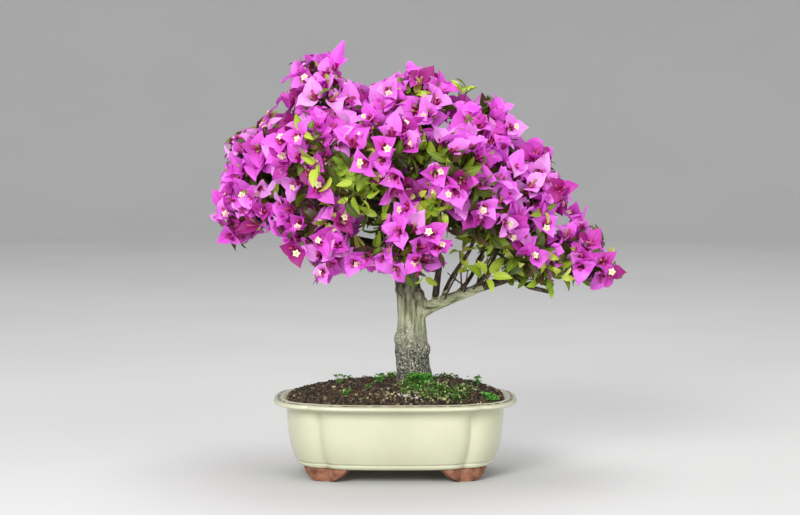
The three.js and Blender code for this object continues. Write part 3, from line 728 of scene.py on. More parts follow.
# Bark relief at a place: long fissures along the limb
def fissures(angle, run, radius, seed):
    across, aside = math.cos(angle) * radius, math.sin(angle) * radius
    wave = noise.noise(Vector((across / 5, aside / 5, run / 26 + seed)))
    fine = noise.noise(Vector((across / 2.2, aside / 2.2, run / 9 + seed)))
    return 0.9 * wave + 0.45 * (0.5 - abs(fine)) + 0.1 * math.sin(angle * radius / 3 + seed)


def limbRings(limb, sides, gap, relief, seed, shape=None, sunk=0):
    steps = max(6, int(limb.run[-1] / gap))
    across, _ = sidesOf(limb.along(0))
    rings = []
    for k in range(steps + 1):
        share = k / steps
        tangent = limb.along(share)
        across = unit(across - (across @ tangent) * tangent)
        upright = np.cross(tangent, across)
        centre = limb.at(share) - (sunk * up if k == 0 else 0)
        ring = []
        for j in range(sides):
            angle = 2 * math.pi * j / sides
            radius = limb.radius(share) * (shape(angle, share) if shape else 1)
            radius += relief * fissures(angle, share * limb.run[-1], radius, seed)
            ring.append(Vector(centre + radius * (math.cos(angle) * across + math.sin(angle) * upright)))
        rings.append(ring)
    return rings


# Pruned stubs and bare twigs on the limbs: limb, share along it, points onwards, radii at both ends
bareTwigs = [
    ("bough_right", 0.17, [(20, -4, 204), (21, -6, 214), (23, -10, 228), (24, -14, 242)], 4.4, 3.2),
    ("bough_right", 0.52, [(108, -10, 219), (122, -18, 209), (143, -22, 204)], 3.2, 2.5),
    ("bough_right", 0.24, [(31, -16, 200), (36, -22, 211), (42, -27, 223), (46, -32, 236)], 1.7, 0.9),
    ("bough_right", 0.37, [(53, -20, 209), (43, -25, 216), (31, -28, 226)], 1.6, 0.8),
    ("bough_right", 0.45, [(78, -22, 226), (80, -32, 240), (84, -40, 252)], 2.2, 1.0),
    ("bough_low_right", 0.5, [(112, -24, 238), (104, -34, 246), (100, -42, 252)], 1.8, 0.8),
    ("trunk", 0.904, [(-14, -16, 250), (-10, -26, 254), (-6, -34, 262)], 4.5, 2.0),
    ("trunk", 0.865, [(-27, -10, 250), (-38, -16, 258), (-46, -22, 268)], 4.8, 2.2),
]

# Burls that swell the trunk: middle and radius
burls = [((-17, -3, 205), 8.5), ((-1, -3, 199), 8.5), ((4, -2, 190), 7.5), ((-14, 0, 150), 12.5),
         ((3, 2, 138), 11), ((-13, -1, 120), 11)]


# How the trunk's girth varies: flutes, and a cleft between the limbs at the fork
def fluted(angle, share):
    waves = math.cos(3 * angle + 4 * share) + 0.6 * math.cos(5 * angle - 2)
    turn = (angle + math.pi) % (2 * math.pi) - math.pi
    rise = min(1, max(0, (share - trunk["cleftFrom"]) / trunk["cleftRise"]))
    cleft = rise * math.exp(-((turn / trunk["cleftWidth"]) ** 2))
    return 1 + trunk["fluting"] * waves - trunk["cleft"] * cleft


# The low bough swells where it leaves the trunk
def collared(angle, share):
    return 1 + wood["collar"] * math.exp(-((share / wood["collarShare"]) ** 2))


# The limbs, stubs and burls, joined under one skin
def joinedWood():
    bm = bmesh.new()
    loftRings(bm, limbRings(limbs["trunk"], *wood["trunkRings"], 0, fluted, trunk["sunk"]))
    for k, mass in enumerate(masses):
        rings = wood["thickRings"] if mass.bough.radius(0) > wood["thickFrom"] else wood["thinRings"]
        shape = collared if mass.boughName == "bough_right" else None
        loftRings(bm, limbRings(mass.bough, *rings, 7 * k + 3, shape))
    for k, (source, share, onward, thick, thin) in enumerate(bareTwigs):
        line = np.array([limbs[source].at(share), *onward], float)
        bare = Limb(line, lambda part, thick=thick, thin=thin: mix(thick, thin, part))
        loftRings(bm, limbRings(bare, *wood["twigRings"], 200 + k))
    capHoles(bm)
    for place, radius in burls:
        bmesh.ops.create_icosphere(bm, subdivisions=3, radius=radius, matrix=Matrix.Translation(place))
    bmesh.ops.recalc_face_normals(bm, faces=bm.faces)
    rough = bpy.data.objects.new("roughWood", meshOf(bm, "roughWood"))
    bpy.context.scene.collection.objects.link(rough)
    join = rough.modifiers.new("join", "REMESH")
    join.mode = "VOXEL"
    join.voxel_size = wood["voxel"]
    joined = bpy.data.meshes.new_from_object(rough.evaluated_get(bpy.context.evaluated_depsgraph_get()))
    bpy.data.objects.remove(rough)
    return joined


# Heights on the bark, in metres: where flakes give way to streaks, where the painted shade under the crown
# starts on trunk and boughs, and how fast and raggedly it darkens
bark = {"flakesTo": 0.135, "streaksFrom": 0.185, "trunkShadeFrom": 0.2, "boughShadeFrom": 0.235, "shadeFade": 0.028,
        "ragged": 0.05}


def spanOn(nodes, link, height, low, high):
    span = nodes.new("ShaderNodeMapRange")
    span.inputs["From Min"].default_value = low
    span.inputs["From Max"].default_value = high
    link(height, span.inputs["Value"])
    return span.outputs["Result"]


def blendOn(nodes, link, factor, low, high):
    blend = nodes.new("ShaderNodeMix")
    blend.data_type = "RGBA"
    link(factor, blend.inputs["Factor"])
    link(low, blend.inputs[6])     # the colour at none
    link(high, blend.inputs[7])    # the colour at full
    return blend.outputs[2]


# Grey-green bark with streaks along the limb, flaking low down, and darkened above a height as painted shade
# under the crown
def barkFinish(name, shadeFrom, stretch):
    finish, nodes, link, shader = startFinish(name, 0.85)
    streaks = noiseOn(nodes, link, 260, stretch, 6)
    upper = rampOn(nodes, link, streaks, [
        (0.3, paint(62, 61, 43)), (0.42, paint(138, 142, 107)), (0.54, paint(196, 201, 162)),
        (0.72, paint(226, 228, 198))])
    # painted shade: darker bark colours used above a height, where the crown's shadow falls
    dark = rampOn(nodes, link, streaks, [
        (0.36, paint(44, 40, 32)), (0.5, paint(104, 100, 80)), (0.7, paint(160, 158, 130))])
    flakes = noiseOn(nodes, link, 540, (1, 1, 0.8), 9)
    lower = rampOn(nodes, link, flakes, [
        (0.36, paint(28, 25, 21)), (0.44, paint(78, 77, 64)), (0.54, paint(120, 122, 103)),
        (0.6, paint(142, 138, 133)), (0.68, paint(214, 212, 208))])
    place = nodes.new("ShaderNodeTexCoord")
    axes = nodes.new("ShaderNodeSeparateXYZ")
    link(place.outputs["Object"], axes.inputs["Vector"])
    height = axes.outputs["Z"]
    ragged = nodes.new("ShaderNodeMath")
    ragged.operation = "MULTIPLY_ADD"
    ragged.inputs[1].default_value = bark["ragged"]
    link(noiseOn(nodes, link, 70, (1, 1, 0.5)), ragged.inputs[0])
    link(height, ragged.inputs[2])
    streaked = spanOn(nodes, link, height, bark["flakesTo"], bark["streaksFrom"])
    shadedShare = spanOn(nodes, link, ragged.outputs[0], shadeFrom, shadeFrom + bark["shadeFade"])
    light = blendOn(nodes, link, streaked, lower, upper)
    link(blendOn(nodes, link, shadedShare, light, dark), shader.inputs["Base Color"])
    bumpOn(nodes, link, noiseOn(nodes, link, 420, (1, 1, 0.3), 6), shader, 0.7, 0.001)
    return finish


def makeWood():
    bm = bmesh.new()
    bm.from_mesh(joinedWood())
    for _ in range(2):
        bmesh.ops.smooth_vert(bm, verts=bm.verts, factor=0.5,
                              use_axis_x=True, use_axis_y=True, use_axis_z=True)
    bm.normal_update()
    for vert in bm.verts:
        x, y, z = vert.co
        low = min(1, max(0, (wood["platesTo"] - z) / wood["platesFade"]))
        plate = noise.noise(Vector((x / 4, y / 4, z / 7)))
        grain = noise.noise(Vector((x / 1.6, y / 1.6, z / 5)))
        vert.co += vert.normal * (wood["grain"] * grain + wood["plate"] * low * max(0, plate - 0.1))
    # old bark on the trunk and the low bough, brown bark on the younger boughs and the twigs, its dark tones
    # partly painted shade within the crown
    samples = wood["oldSamples"]
    oldPlaces = [(limbs["trunk"], share) for share in np.linspace(0, 1, samples)]
    oldPlaces += [(limbs["bough_right"], share) for share in np.linspace(0, wood["oldShare"], samples)]
    oldAxis = np.array([limb.at(share) for limb, share in oldPlaces])
    oldGirth = wood["oldGirth"] * np.array([limb.radius(share) for limb, share in oldPlaces])
    for face in bm.faces:
        away = np.linalg.norm(oldAxis - np.array(face.calc_center_median()), axis=1) - oldGirth
        onTrunk = away.argmin() < samples
        face.material_index = 1 if away.min() > wood["oldMargin"] else 0 if onTrunk else 2
    mesh = meshOf(bm, "trunkAndBoughs")
    # young brown bark made dark: partly its own colour, partly painted shade inside the crown
    youngBarkAndShade = mottled("youngBarkAndShade", {
        "stops": [(0.3, paint(36, 29, 23)), (0.5, paint(68, 56, 44)), (0.7, paint(102, 89, 71))],
        "grain": 240, "stretch": (1, 1, 0.35), "roughness": 0.85, "bump": 0.7, "bumpDepth": 0.001,
        "bumpGrain": 420})
    finishes = [barkFinish("trunkBarkAndShade", bark["trunkShadeFrom"], (1, 1, 0.14)), youngBarkAndShade,
                barkFinish("boughBarkAndShade", bark["boughShadeFrom"], (0.16, 1, 0.8))]
    names = ["trunk", *(mass.boughName for mass in masses)]
    addPiece("trunkAndBoughs", mesh, finishes, names)


# The crown: on from each bough grow a stem, twigs, and sprays of bracts or leaves
crown = {
    "seed": 101, "rays": 620, "stray": 0.1, "core": 28,
    # where the front bracts end, and where the masses that the back bracts replace begin
    "frontTo": 10, "backFrom": 40,
    # how far the stem runs past a mass's middle, its tip's radius, and where twigs leave it
    "past": 0.25, "stemTip": 1.3, "root": 0.55, "rootSpread": 0.4,
    # the field of depth: its sharpness, and its values at the skin, at the tips of blades and for side twigs
    "blend": 2.0, "skin": 1.12, "edge": 0.8, "inside": 1.5,
    # chances of a bare end, of one among the open leaves, of a side twig and of leaves behind a blossom
    "gaps": 0.08, "thin": 0.75, "sideTwigs": 0.75, "leavesBehind": 0.2,
    # how much the twigs' reach varies, how they bow and sag, and what turns their ends
    "reach": (0.88, 1.06), "bow": 0.09, "sag": 0.5, "onward": 0.35, "waver": 0.45, "lift": 0.12,
    # sizes of the sprays at the ends and on side twigs, and the length of those
    "blossom": (0.82, 1.08), "sideBlossom": (0.75, 0.95), "sideReach": (10, 18),
    # spacing of the ends in leafy places, and how far back the dark gaps go
    "leafSpacing": 13, "shadeDepth": -15,
}
seeds = {"limbs": 102, "fills": 103, "front": 104, "heart": 106, "top": 77}
rayShares = np.arange(0.6, 1.3, 0.02)    # shares of a mass's radius tried along a ray

# Blades: rows along, columns across, angles to the twig at root and tip, and how one differs from another
bract = {
    "length": 29, "width": 22.5, "open": 1.0, "rows": (0, 0.09, 0.25, 0.45, 0.66, 0.85),
    "columns": (-1, -0.52, -0.06, 0.06, 0.52, 1),
    # the angles are shares of how far the blossom opens, each with a spread
    "opened": (0.66, 1.2), "start": (0.4, 0.08), "end": (1.3, 0.42), "turn": 0.16, "size": (0.86, 1.1),
    "slim": (0.85, 1.08), "fold": (-0.1, 0.6), "wave": (1.0, 3.4), "twist": 0.36,
}
leaf = {
    "length": 22.5, "width": 12, "rows": (0, 0.14, 0.36, 0.6, 0.82),
    "columns": (-1, -0.5, -0.07, 0.07, 0.5, 1),
    "start": (0.5, 0.95), "end": (1.2, 1.95), "stalk": (3, 6), "size": (0.8, 1.15),
    "slim": (0.85, 1.15), "fold": (0.15, 0.5), "wave": (0.1, 0.8), "twist": 0.2,
}
flower = {
    "tube": (11, 16), "lean": 0.34, "sway": 0.1, "clear": 0.6, "waist": 0.45, "foot": 0.9, "bud": 1.5,
    # the star: reach of its points and of its notches, each with its rise over the throat
    "throat": 1.1, "point": (4.7, 0.9), "notch": (3.1, 1.3), "dip": 0.7,
    # the eye in its middle: radius, rise of its edge and rise of its top
    "eye": (1.1, 1.4, 2.0),
}
# Twigs: radius at the root and at the tip, and number of sides
twigSizes = {"main": (1.0, 0.65, 5), "side": (0.7, 0.5, 4), "fine": (0.9, 0.5, 4), "heart": (1.1, 0.5, 4),
             "limb": (1.2, 0.6, 5), "top": (1.0, 0.6, 5), "stalk": (0.5, 0.4, 4)}
brownTwig, greenTwig = 0, 1

# Where green shows in the crown: middle and radii
leafPatches = [
    ((-68, -112, 325), (34, 45, 27)),
    ((14, -118, 302), (12, 30, 7)),
    ((157, -40, 224), (14, 30, 9)),
    ((-60, 130, 330), (30, 34, 20)),
    ((62, 130, 300), (26, 34, 18)),
    ((-150, 110, 290), (18, 30, 14)),
]

camera = {"place": (-19.8, -2400, 400), "lens": 98.2, "sensor": 36, "dip": 3.81}
# Lines of sight that stay open through the crown: a point on each, and its half width there
skyGaps = [
    ((-51, -60, 278), 11), ((-51, -60, 266), 11), ((57, -20, 250), 7), ((43, -20, 238), 7),
    ((86, -20, 237), 7), ((37, -20, 222), 10), ((59, -20, 228), 5), ((120, 0, 302), 4), ((100, 0, 328), 4),
    # above the crown
    ((-200, 0, 412), 33), ((-113, 0, 501), 35), ((-53, 0, 468), 36), ((79, 0, 466), 44), ((140, 0, 400), 31),
    ((182, 0, 352), 32), ((127, 0, 391), 20), ((200, 0, 308), 26), ((244, 0, 300), 48), ((245, 0, 264), 38),
    ((-238, 0, 344), 24),
    # below the crown
    ((-238, 0, 262), 22), ((-167, 0, 243), 22), ((-139, 0, 221), 24), ((-73, 0, 198), 24),
    ((-42, 0, 193), 28), ((-18, 0, 180), 41),
]
# Lines of sight without blossom as far as the dark inside of the crown
shadeGaps = [
    ((-7, -100, 352), 8), ((14, -100, 353), 8), ((35, -100, 350), 8), ((56, -90, 343), 7),
    ((78, -70, 336), 6), ((-49, -100, 374), 6), ((-130, -100, 339), 7), ((-15, -110, 277), 6),
]
# Lines of sight with leaves and no blossom
leafGaps = [
    ((54, -40, 254), 15), ((78, -40, 258), 14), ((56, -40, 235), 15), ((85, -40, 238), 13),
    ((40, -40, 227), 10), ((128, -40, 216), 15), ((112, -40, 212), 15), ((157, -40, 222), 12),
    ((-86, -120, 340), 11), ((-68, -120, 328), 14), ((-52, -120, 314), 11), ((16, -115, 303), 9),
]
goldenAngle = math.pi * (3 - math.sqrt(5))
eyePlace = np.array(camera["place"], float)


def sightsOf(gaps):
    ways = np.array([through for through, _ in gaps], float) - eyePlace
    return ways / np.linalg.norm(ways, axis=1)[:, None], np.array([wide for _, wide in gaps], float)


skySights = sightsOf(skyGaps)
shadeSights = sightsOf(shadeGaps)
leafSights = sightsOf(leafGaps)


def inSights(point, sights):
    ways, widths = sights
    way = point - eyePlace
    return bool((way @ way - (ways @ way) ** 2 < widths**2).any())


def inSky(point):
    return inSights(point, skySights)


def inShade(point):
    return point[1] < crown["shadeDepth"] and inSights(point, shadeSights)


# Whether a blade stays within the crown and clear of the open lines of sight
def fits(points, kind):
    sampled = (*points[8::5], points[-1])    # some points over the blade, and its tip
    if not inCrown(points[-1]) or any(inSky(point) for point in sampled):
        return False
    if kind == "bract" and any(inSights(point, leafSights) for point in sampled):
        return False
    return kind == "core" or not any(inShade(point) for point in sampled)


def inPatch(point, patches):
    return any(np.linalg.norm((point - np.array(middle)) / np.array(radii)) < 1 for middle, radii in patches)


# How deep in each mass a point is: 1 at a mass's skin
def crownField(point):
    away = (point - massCentres) / massRadii
    return np.exp(crown["blend"] * (1 - (away**2).sum(axis=1)))


# The way out of the crown, smoothed where masses run together
def outward(point):
    return unit((crownField(point)[:, None] * (point - massCentres) / massRadii**2).sum(axis=0))


# Where a ray from a mass's middle comes out of the crown, as a share of the mass's radius there
def skinShare(mass, direction):
    for share in rayShares:
        point = mass.centre + mass.radii * direction * share
        if crownField(point).sum() < crown["skin"] or inSky(point):
            return share
    return None


def inCrown(point):
    return crownField(point).sum() > crown["edge"]


def directionAt(k, count, turn):
    z = 1 - (2 * k + 1) / count
    around = goldenAngle * k + turn
    level = math.sqrt(1 - z * z)
    return np.array([level * math.cos(around), level * math.sin(around), z])


# How far out a twig ends, so that the tips of its spray just reach the mass's skin
def sprayDepth(size, radius):
    side = size["length"] * math.sin(size["open"])
    ahead = size["length"] * math.cos(size["open"])
    return (math.sqrt(max(0, radius**2 - side**2)) - ahead) / radius


# One blade as a bent sheet. It leaves its root at an angle to the twig and curls on to another.
def bladePoints(root, axis, out, size, bend):
    side = np.cross(axis, out)
    curl = bend["end"] - bend["start"]
    points = []
    for share in (*size["rows"], 1):
        angle = bend["start"] + curl * share
        ahead = (math.sin(angle) - math.sin(bend["start"])) / curl
        aside = (math.cos(bend["start"]) - math.cos(angle)) / curl
        spine = root + bend["length"] * (ahead * axis + aside * out)
        if share == 1:
            points.append(spine)
            break
        face = math.sin(angle) * axis - math.cos(angle) * out
        twist = bend["twist"] * share
        across = math.cos(twist) * side + math.sin(twist) * face
        lifted = math.cos(twist) * face - math.sin(twist) * side
        half = bend["width"] / 2 * bend["outline"](share)
        wave = bend["wave"] * math.sin(7 * share + bend["phase"])
        for column in size["columns"]:
            edge = abs(column)
            lift = bend["fold"] * edge * half + wave * edge**2 * (1 if column > 0 else -0.7)
            points.append(spine + across * column * half + lifted * lift)
    return points


def bladeFaces(size):
    rows, columns = len(size["rows"]), len(size["columns"])
    faces = [(r * columns + c, r * columns + c + 1, (r + 1) * columns + c + 1, (r + 1) * columns + c)
             for r in range(rows - 1) for c in range(columns - 1)]
    last = (rows - 1) * columns
    return faces + [(last + c, last + c + 1, rows * columns) for c in range(columns - 1)]


def bractOutline(share):
    return max(0.12, 3.96 * (share + 0.02) ** 0.8 * (1 - share) ** 1.35)


def leafOutline(share):
    return max(0.06, 2.2 * (share + 0.01) ** 0.58 * (1 - share) ** 0.95)


# The look of each face of a bract: a darker midrib, and a darker throat that fades out in its second row
def bractLooks(tone):
    deep = min(tone + 1, len(bractTones) - 1)
    throat = len(bractTones)
    looks = []
    for row in range(len(bract["rows"])):
        for column in range(len(bract["columns"]) - 1):
            if row == 0 or (row == 1 and column in (1, 2, 3)):
                looks.append(throat)
            elif row == 1 or (column == 2 and row < 5):
                looks.append(deep)
            else:
                looks.append(tone)
    return looks


def leafLooks(tone):
    pale = max(0, tone - 1)
    columns = len(leaf["columns"]) - 1
    return [pale if column == 2 else tone for _ in leaf["rows"] for column in range(columns)]


bractFaces = bladeFaces(bract)
leafFaces = bladeFaces(leaf)
heaps = {"bractsFront": Heap(), "bractsBack": Heap(), "leaves": Heap(), "twigs": Heap(), "flowers": Heap()}
counts = {"ends": 0, "blossoms": 0, "leaves": 0}


def addRod(heap, line, thick, thin, sides, look):
    points = []
    across, _ = sidesOf(unit(line[1] - line[0]))
    for k, centre in enumerate(line):
        tangent = unit(line[min(k + 1, len(line) - 1)] - line[max(k - 1, 0)])
        across = unit(across - (across @ tangent) * tangent)
        upright = np.cross(tangent, across)
        radius = mix(thick, thin, k / (len(line) - 1))
        for j in range(sides):
            angle = 2 * math.pi * j / sides
            points.append(centre + radius * (math.cos(angle) * across + math.sin(angle) * upright))
    faces = []
    for k in range(len(line) - 1):
        for j in range(sides):
            n = (j + 1) % sides
            faces.append((k * sides + j, k * sides + n, (k + 1) * sides + n, (k + 1) * sides + j))
    last = (len(line) - 1) * sides
    faces.append(tuple(last + j for j in range(sides)))
    heap.add(points, faces, look)


def addTwig(line, kind, look):
    addRod(heaps["twigs"], line, *twigSizes[kind], look)


def around(axis, angle):
    across, upright = sidesOf(axis)
    return math.cos(angle) * across + math.sin(angle) * upright


bractTones = [(255, 178, 253), (254, 154, 252), (250, 132, 250), (246, 114, 242), (234, 92, 222),
              (208, 64, 188), (170, 38, 134)]
bractWeights = (3, 6, 7, 6, 4, 3, 2)
throatTone = (158, 22, 96)
leafTones = [(230, 238, 128), (212, 230, 88), (190, 214, 68), (160, 190, 54), (114, 142, 40), (78, 92, 34),
             (92, 72, 44)]
leafWeights = (0, 0.7, 4, 7, 6, 3, 0)
# lighter tones for the free sprays that stand out of the crown: painted light
paintedLightWeights = (0.5, 3, 6, 5, 2, 0, 0)
# darker tones for leaves inside the crown: painted shade, with some dry brown ones
shadeAndDryWeights = (0, 0, 0, 1, 3, 4, 2)


def bractTone(draw):
    return draw.choices(range(len(bractTones)), bractWeights)[0]


# A tone one step to either side, or the same one
def nearTone(draw, tone, tones, weights):
    return min(len(tones) - 1, max(0, tone + draw.choices((-1, 0, 1), weights)[0]))


# A blossom: three bracts about a twig's end, each with a slim tube, and an open star on some tubes
def addBlossom(draw, root, axis, scale, tone, stars=(0.1, 0.1, 0.1), free=False):
    heap = heaps["bractsFront" if root[1] < crown["frontTo"] else "bractsBack"]
    turn = draw.uniform(0, 2 * math.pi)
    opened = draw.uniform(*bract["opened"])
    for k in range(3):
        out = around(axis, turn + 2 * math.pi * k / 3 + draw.gauss(0, bract["turn"]))
        size = scale * draw.uniform(*bract["size"])
        (start, startSpread), (end, endSpread) = bract["start"], bract["end"]
        bend = {"start": start * opened + draw.gauss(0, startSpread),
                "end": end * opened + draw.gauss(0, endSpread),
                "length": bract["length"] * size,
                "width": bract["width"] * size * draw.uniform(*bract["slim"]),
                "outline": bractOutline, "fold": draw.uniform(*bract["fold"]),
                "wave": draw.uniform(*bract["wave"]), "twist": draw.gauss(0, bract["twist"]),
                "phase": draw.uniform(*anyTurn)}
        points = bladePoints(root + out * 0.8, axis, out, bract, bend)
        look = nearTone(draw, tone, bractTones, (2, 5, 2))
        if free or fits(points, "bract"):
            heap.add(points, bractFaces, bractLooks(look))
            addFlower(draw, root, axis, out, scale, draw.random() < stars[k])
    counts["blossoms"] += 1


# A slim tube beside a bract, with an open star or closed as a bud
def addFlower(draw, root, axis, out, scale, opened):
    sway = np.array([draw.gauss(0, 1), draw.gauss(0, 1), 0])
    way = unit(axis + flower["lean"] * out + flower["sway"] * sway)
    long = scale * draw.uniform(*flower["tube"])
    start = root + flower["clear"] * out
    waist = start + way * long * flower["waist"]
    throat = start + way * long
    heap = heaps["flowers"]
    mouth = flower["throat" if opened else "bud"]
    addRod(heap, [start, waist, throat], flower["foot"], mouth, 5, draw.choices((0, 1), (3, 1))[0])
    if not opened:
        return
    turn = draw.uniform(*anyTurn)
    rim = []
    for k in range(10):
        reach, rise = flower["notch" if k % 2 else "point"]
        rim.append(throat + reach * around(way, turn + math.pi * k / 5) + way * rise)
    middle = throat + way * flower["dip"]
    heap.add([*rim, middle], [(k, (k + 1) % 10, 10) for k in range(10)], 2)
    radius, edge, top = flower["eye"]
    ring = [throat + way * edge + radius * around(way, 2 * math.pi * k / 5) for k in range(5)]
    heap.add([*ring, throat + way * top], [(k, (k + 1) % 5, 5) for k in range(5)], 3)


def addLeaf(draw, root, axis, out, scale, tone, free, deep):
    size = scale * draw.uniform(*leaf["size"])
    stalk = unit(0.6 * axis + out) * draw.uniform(*leaf["stalk"]) * size
    base = root + stalk
    bend = {"start": draw.uniform(*leaf["start"]), "end": draw.uniform(*leaf["end"]),
            "length": leaf["length"] * size, "width": leaf["width"] * size * draw.uniform(*leaf["slim"]),
            "outline": leafOutline, "fold": draw.uniform(*leaf["fold"]), "wave": draw.uniform(*leaf["wave"]),
            "twist": draw.gauss(0, leaf["twist"]), "phase": draw.uniform(*anyTurn)}
    points = bladePoints(base, axis, out, leaf, bend)
    if not (free or fits(points, "core" if deep else "leaf")):
        return
    heaps["leaves"].add(points, leafFaces, leafLooks(nearTone(draw, tone, leafTones, (1, 3, 1))))
    addTwig([root, mix(root, base, 0.5), base], "stalk", greenTwig)
    counts["leaves"] += 1


# Leaves round a twig's end. A free spray may stand out of the crown and gets lighter tones, painted light; a
# deep one is in its shade and gets darker tones, painted shade.
def addLeafSpray(draw, root, axis, number, scale=1.0, free=False, deep=False):
    weights = shadeAndDryWeights if deep else paintedLightWeights if free else leafWeights
    tone = draw.choices(range(len(leafTones)), weights)[0]
    turn = draw.uniform(*anyTurn)
    for k in range(number):
        out = around(axis, turn + 2.4 * k + draw.gauss(0, 0.2))
        size = scale * mix(0.8, 1.05, k / max(1, number - 1))
        addLeaf(draw, root - axis * 2.2 * k, axis, out, size, tone, free, deep)


def twigLine(start, end, bow):
    middle = mix(start, end, 0.5) + bow
    return [start, mix(mix(start, middle, 0.5), mix(start, end, 0.25), 0.5), middle,
            mix(mix(middle, end, 0.5), mix(start, end, 0.75), 0.5), end]


def wander(draw):
    return np.array([draw.gauss(0, 1), draw.gauss(0, 1), draw.gauss(0, 1)])


def nearestMass(point):
    return min(masses, key=lambda mass: mass.depth(point))


taken = np.full((6000, 3), 1e6)      # the ends of the sprays so far


def roomAt(end, spacing):
    return np.linalg.norm(taken - end, axis=1).min() > spacing


def takeRoom(end):
    taken[counts["ends"]] = end
    counts["ends"] += 1


# A twig from a stem, from the first root that keeps it clear of the open lines of sight
def twigFrom(stem, share, end, bow):
    for step in (0, 0.2, -0.2, 0.4, -0.4, 0.6, -0.6):
        root = stem.at(np.clip(share + step, 0.08, 1))
        line = twigLine(root, end, bow * np.linalg.norm(end - root))
        if not any(inSky(point) for point in line[1:-1]):
            return line
    return None


# The stem of a mass, on from its bough's tip
def growStem(mass, draw):
    tip = mass.bough.at(1)
    onward = mass.bough.along(1)
    to = mass.centre + crown["past"] * (mass.centre - tip)
    bend = tip + 0.3 * np.linalg.norm(to - tip) * onward
    stem = Limb(bezierLine(tip - onward, bend, mix(tip, to, 0.65) + 2 * wander(draw), to, 24), None)
    addRod(heaps["twigs"], [stem.at(share) for share in np.linspace(0, 1, 9)],
           0.97 * mass.bough.radius(1), crown["stemTip"], 7, brownTwig)
    return stem


# A finer twig off the side of a twig, with a smaller spray
def growSideTwig(mass, draw, line, skin, leafy, tone):
    fork = mix(line[2], line[3], draw.random())
    way = unit(outward(skin) + 0.9 * around(unit(line[-1] - line[0]), draw.uniform(*anyTurn)))
    side = fork + way * draw.uniform(*crown["sideReach"])
    if crownField(side).sum() < crown["inside"] or inSky(side):
        return
    addTwig(twigLine(fork, side, 0.5 * way), "side", greenTwig)
    if leafy:
        addLeafSpray(draw, side, way, draw.randint(3, 5), 0.9)
    else:
        size = mass.scale * draw.uniform(*crown["sideBlossom"])
        addBlossom(draw, side, way, size, tone, (0.05, 0.05, 0.05))


# Leaves within a mass in darker tones, painted shade, and dry ones
def growCore(mass, draw, stem):
    for _ in range(crown["core"]):
        direction = unit(wander(draw))
        end = mass.centre + mass.radii * direction * draw.uniform(0.2, 0.7)
        line = twigFrom(stem, draw.uniform(0.2, 1), end, 0.06 * wander(draw))
        if line is None or inSky(end):
            continue
        addTwig(line, "fine", brownTwig)
        addLeafSpray(draw, end, direction, draw.randint(4, 6), 1.15, deep=True)


def growMass(mass, seed):
    draw = random.Random(seed)
    stem = growStem(mass, draw)
    onward = mass.bough.along(1)
    turn = 2 * math.pi * draw.random()
    order = list(range(crown["rays"]))
    draw.shuffle(order)
    for k in order:
        direction = unit(directionAt(k, crown["rays"], turn) + crown["stray"] * wander(draw))
        share = skinShare(mass, direction)
        if share is None:
            continue
        skin = mass.centre + mass.radii * direction * share
        depth = sprayDepth(bract, np.linalg.norm(skin - mass.centre))
        end = mass.centre + mass.radii * direction * (share * depth * draw.uniform(*crown["reach"]))
        front = mix(end, skin, 0.5)
        green = inSights(front, leafSights)
        patched = green or inPatch(front, leafPatches)
        if inSky(end) or not roomAt(end, crown["leafSpacing"] if patched else mass.spacing):
            continue
        root = crown["root"] + crown["rootSpread"] * (direction @ onward)
        line = twigFrom(stem, root, end, crown["bow"] * unit(wander(draw) - crown["sag"] * up))
        if line is None:
            continue
        takeRoom(end)
        if draw.random() < crown["thin" if green else "gaps"]:
            continue
        addTwig(line, "main", draw.choices((brownTwig, greenTwig), (3, 1))[0])
        leafy = patched or draw.random() < mass.leafy
        facing = unit(outward(skin) + crown["onward"] * unit(end - line[2]) + crown["waver"] * wander(draw)
                      + crown["lift"] * up)
        tone = bractTone(draw)
        if leafy:
            addLeafSpray(draw, end, facing, draw.randint(4, 6))
        else:
            addBlossom(draw, end, facing, mass.scale * draw.uniform(*crown["blossom"]), tone)
            if draw.random() < crown["leavesBehind"]:
                addLeafSpray(draw, mix(line[2], line[3], draw.random()), facing, draw.randint(1, 2), 0.85)
        if draw.random() < crown["sideTwigs"]:
            growSideTwig(mass, draw, line, skin, leafy, tone)
    growCore(mass, draw, stem)


# Blossoms that face the front: places across and up in the trunk's plane, and the chances of stars
frontBlossoms = [
    ([(-148, 366), (-130, 373), (-110, 316), (-209, 291), (-133, 249), (-111, 256), (-86, 281), (-105, 225),
      (-71, 238), (-55, 347), (-36, 360), (-23, 332), (-8, 294), (13, 265), (21, 250), (1, 238), (14, 397),
      (-50, 390), (-33, 423), (18, 335), (99, 380), (43, 314), (68, 296), (93, 280), (140, 276), (170, 282),
      (127, 241), (211, 226)], (1, 0.05, 0.05)),
    ([(182, 241), (188, 252), (164, 260), (181, 272), (181, 231), (203, 236), (156, 314), (-207, 266),
      (-193, 260), (-20, 270), (-23, 232)], (0, 0, 0)),
]
# How far under the crown's skin their twigs end, and where the skin is looked for along a line of sight
frontDepth = 10
frontReach = np.arange(2200, 2560, 2.0)


def growFrontBlossoms():
    draw = random.Random(seeds["front"])
    for places, stars in frontBlossoms:
        for x, z in places:
            sight = unit(np.array([x, 0, z]) - eyePlace)
            steps = [eyePlace + sight * far for far in frontReach]
            fields = np.array([crownField(point).sum() for point in steps])
            within = np.flatnonzero(fields > crown["skin"])
            end = steps[within[0] if len(within) else fields.argmax()] + frontDepth * sight
            mass = nearestMass(end)
            addTwig(twigLine(mix(mass.centre, end, 0.2), end, 2 * wander(draw)), "main", brownTwig)
            facing = unit(0.6 * outward(end) - sight + 0.42 * wander(draw))
            tone = bractTone(draw)
            addBlossom(draw, end, facing, mass.scale * draw.uniform(0.78, 0.95), tone, stars, free=True)
            takeRoom(end)


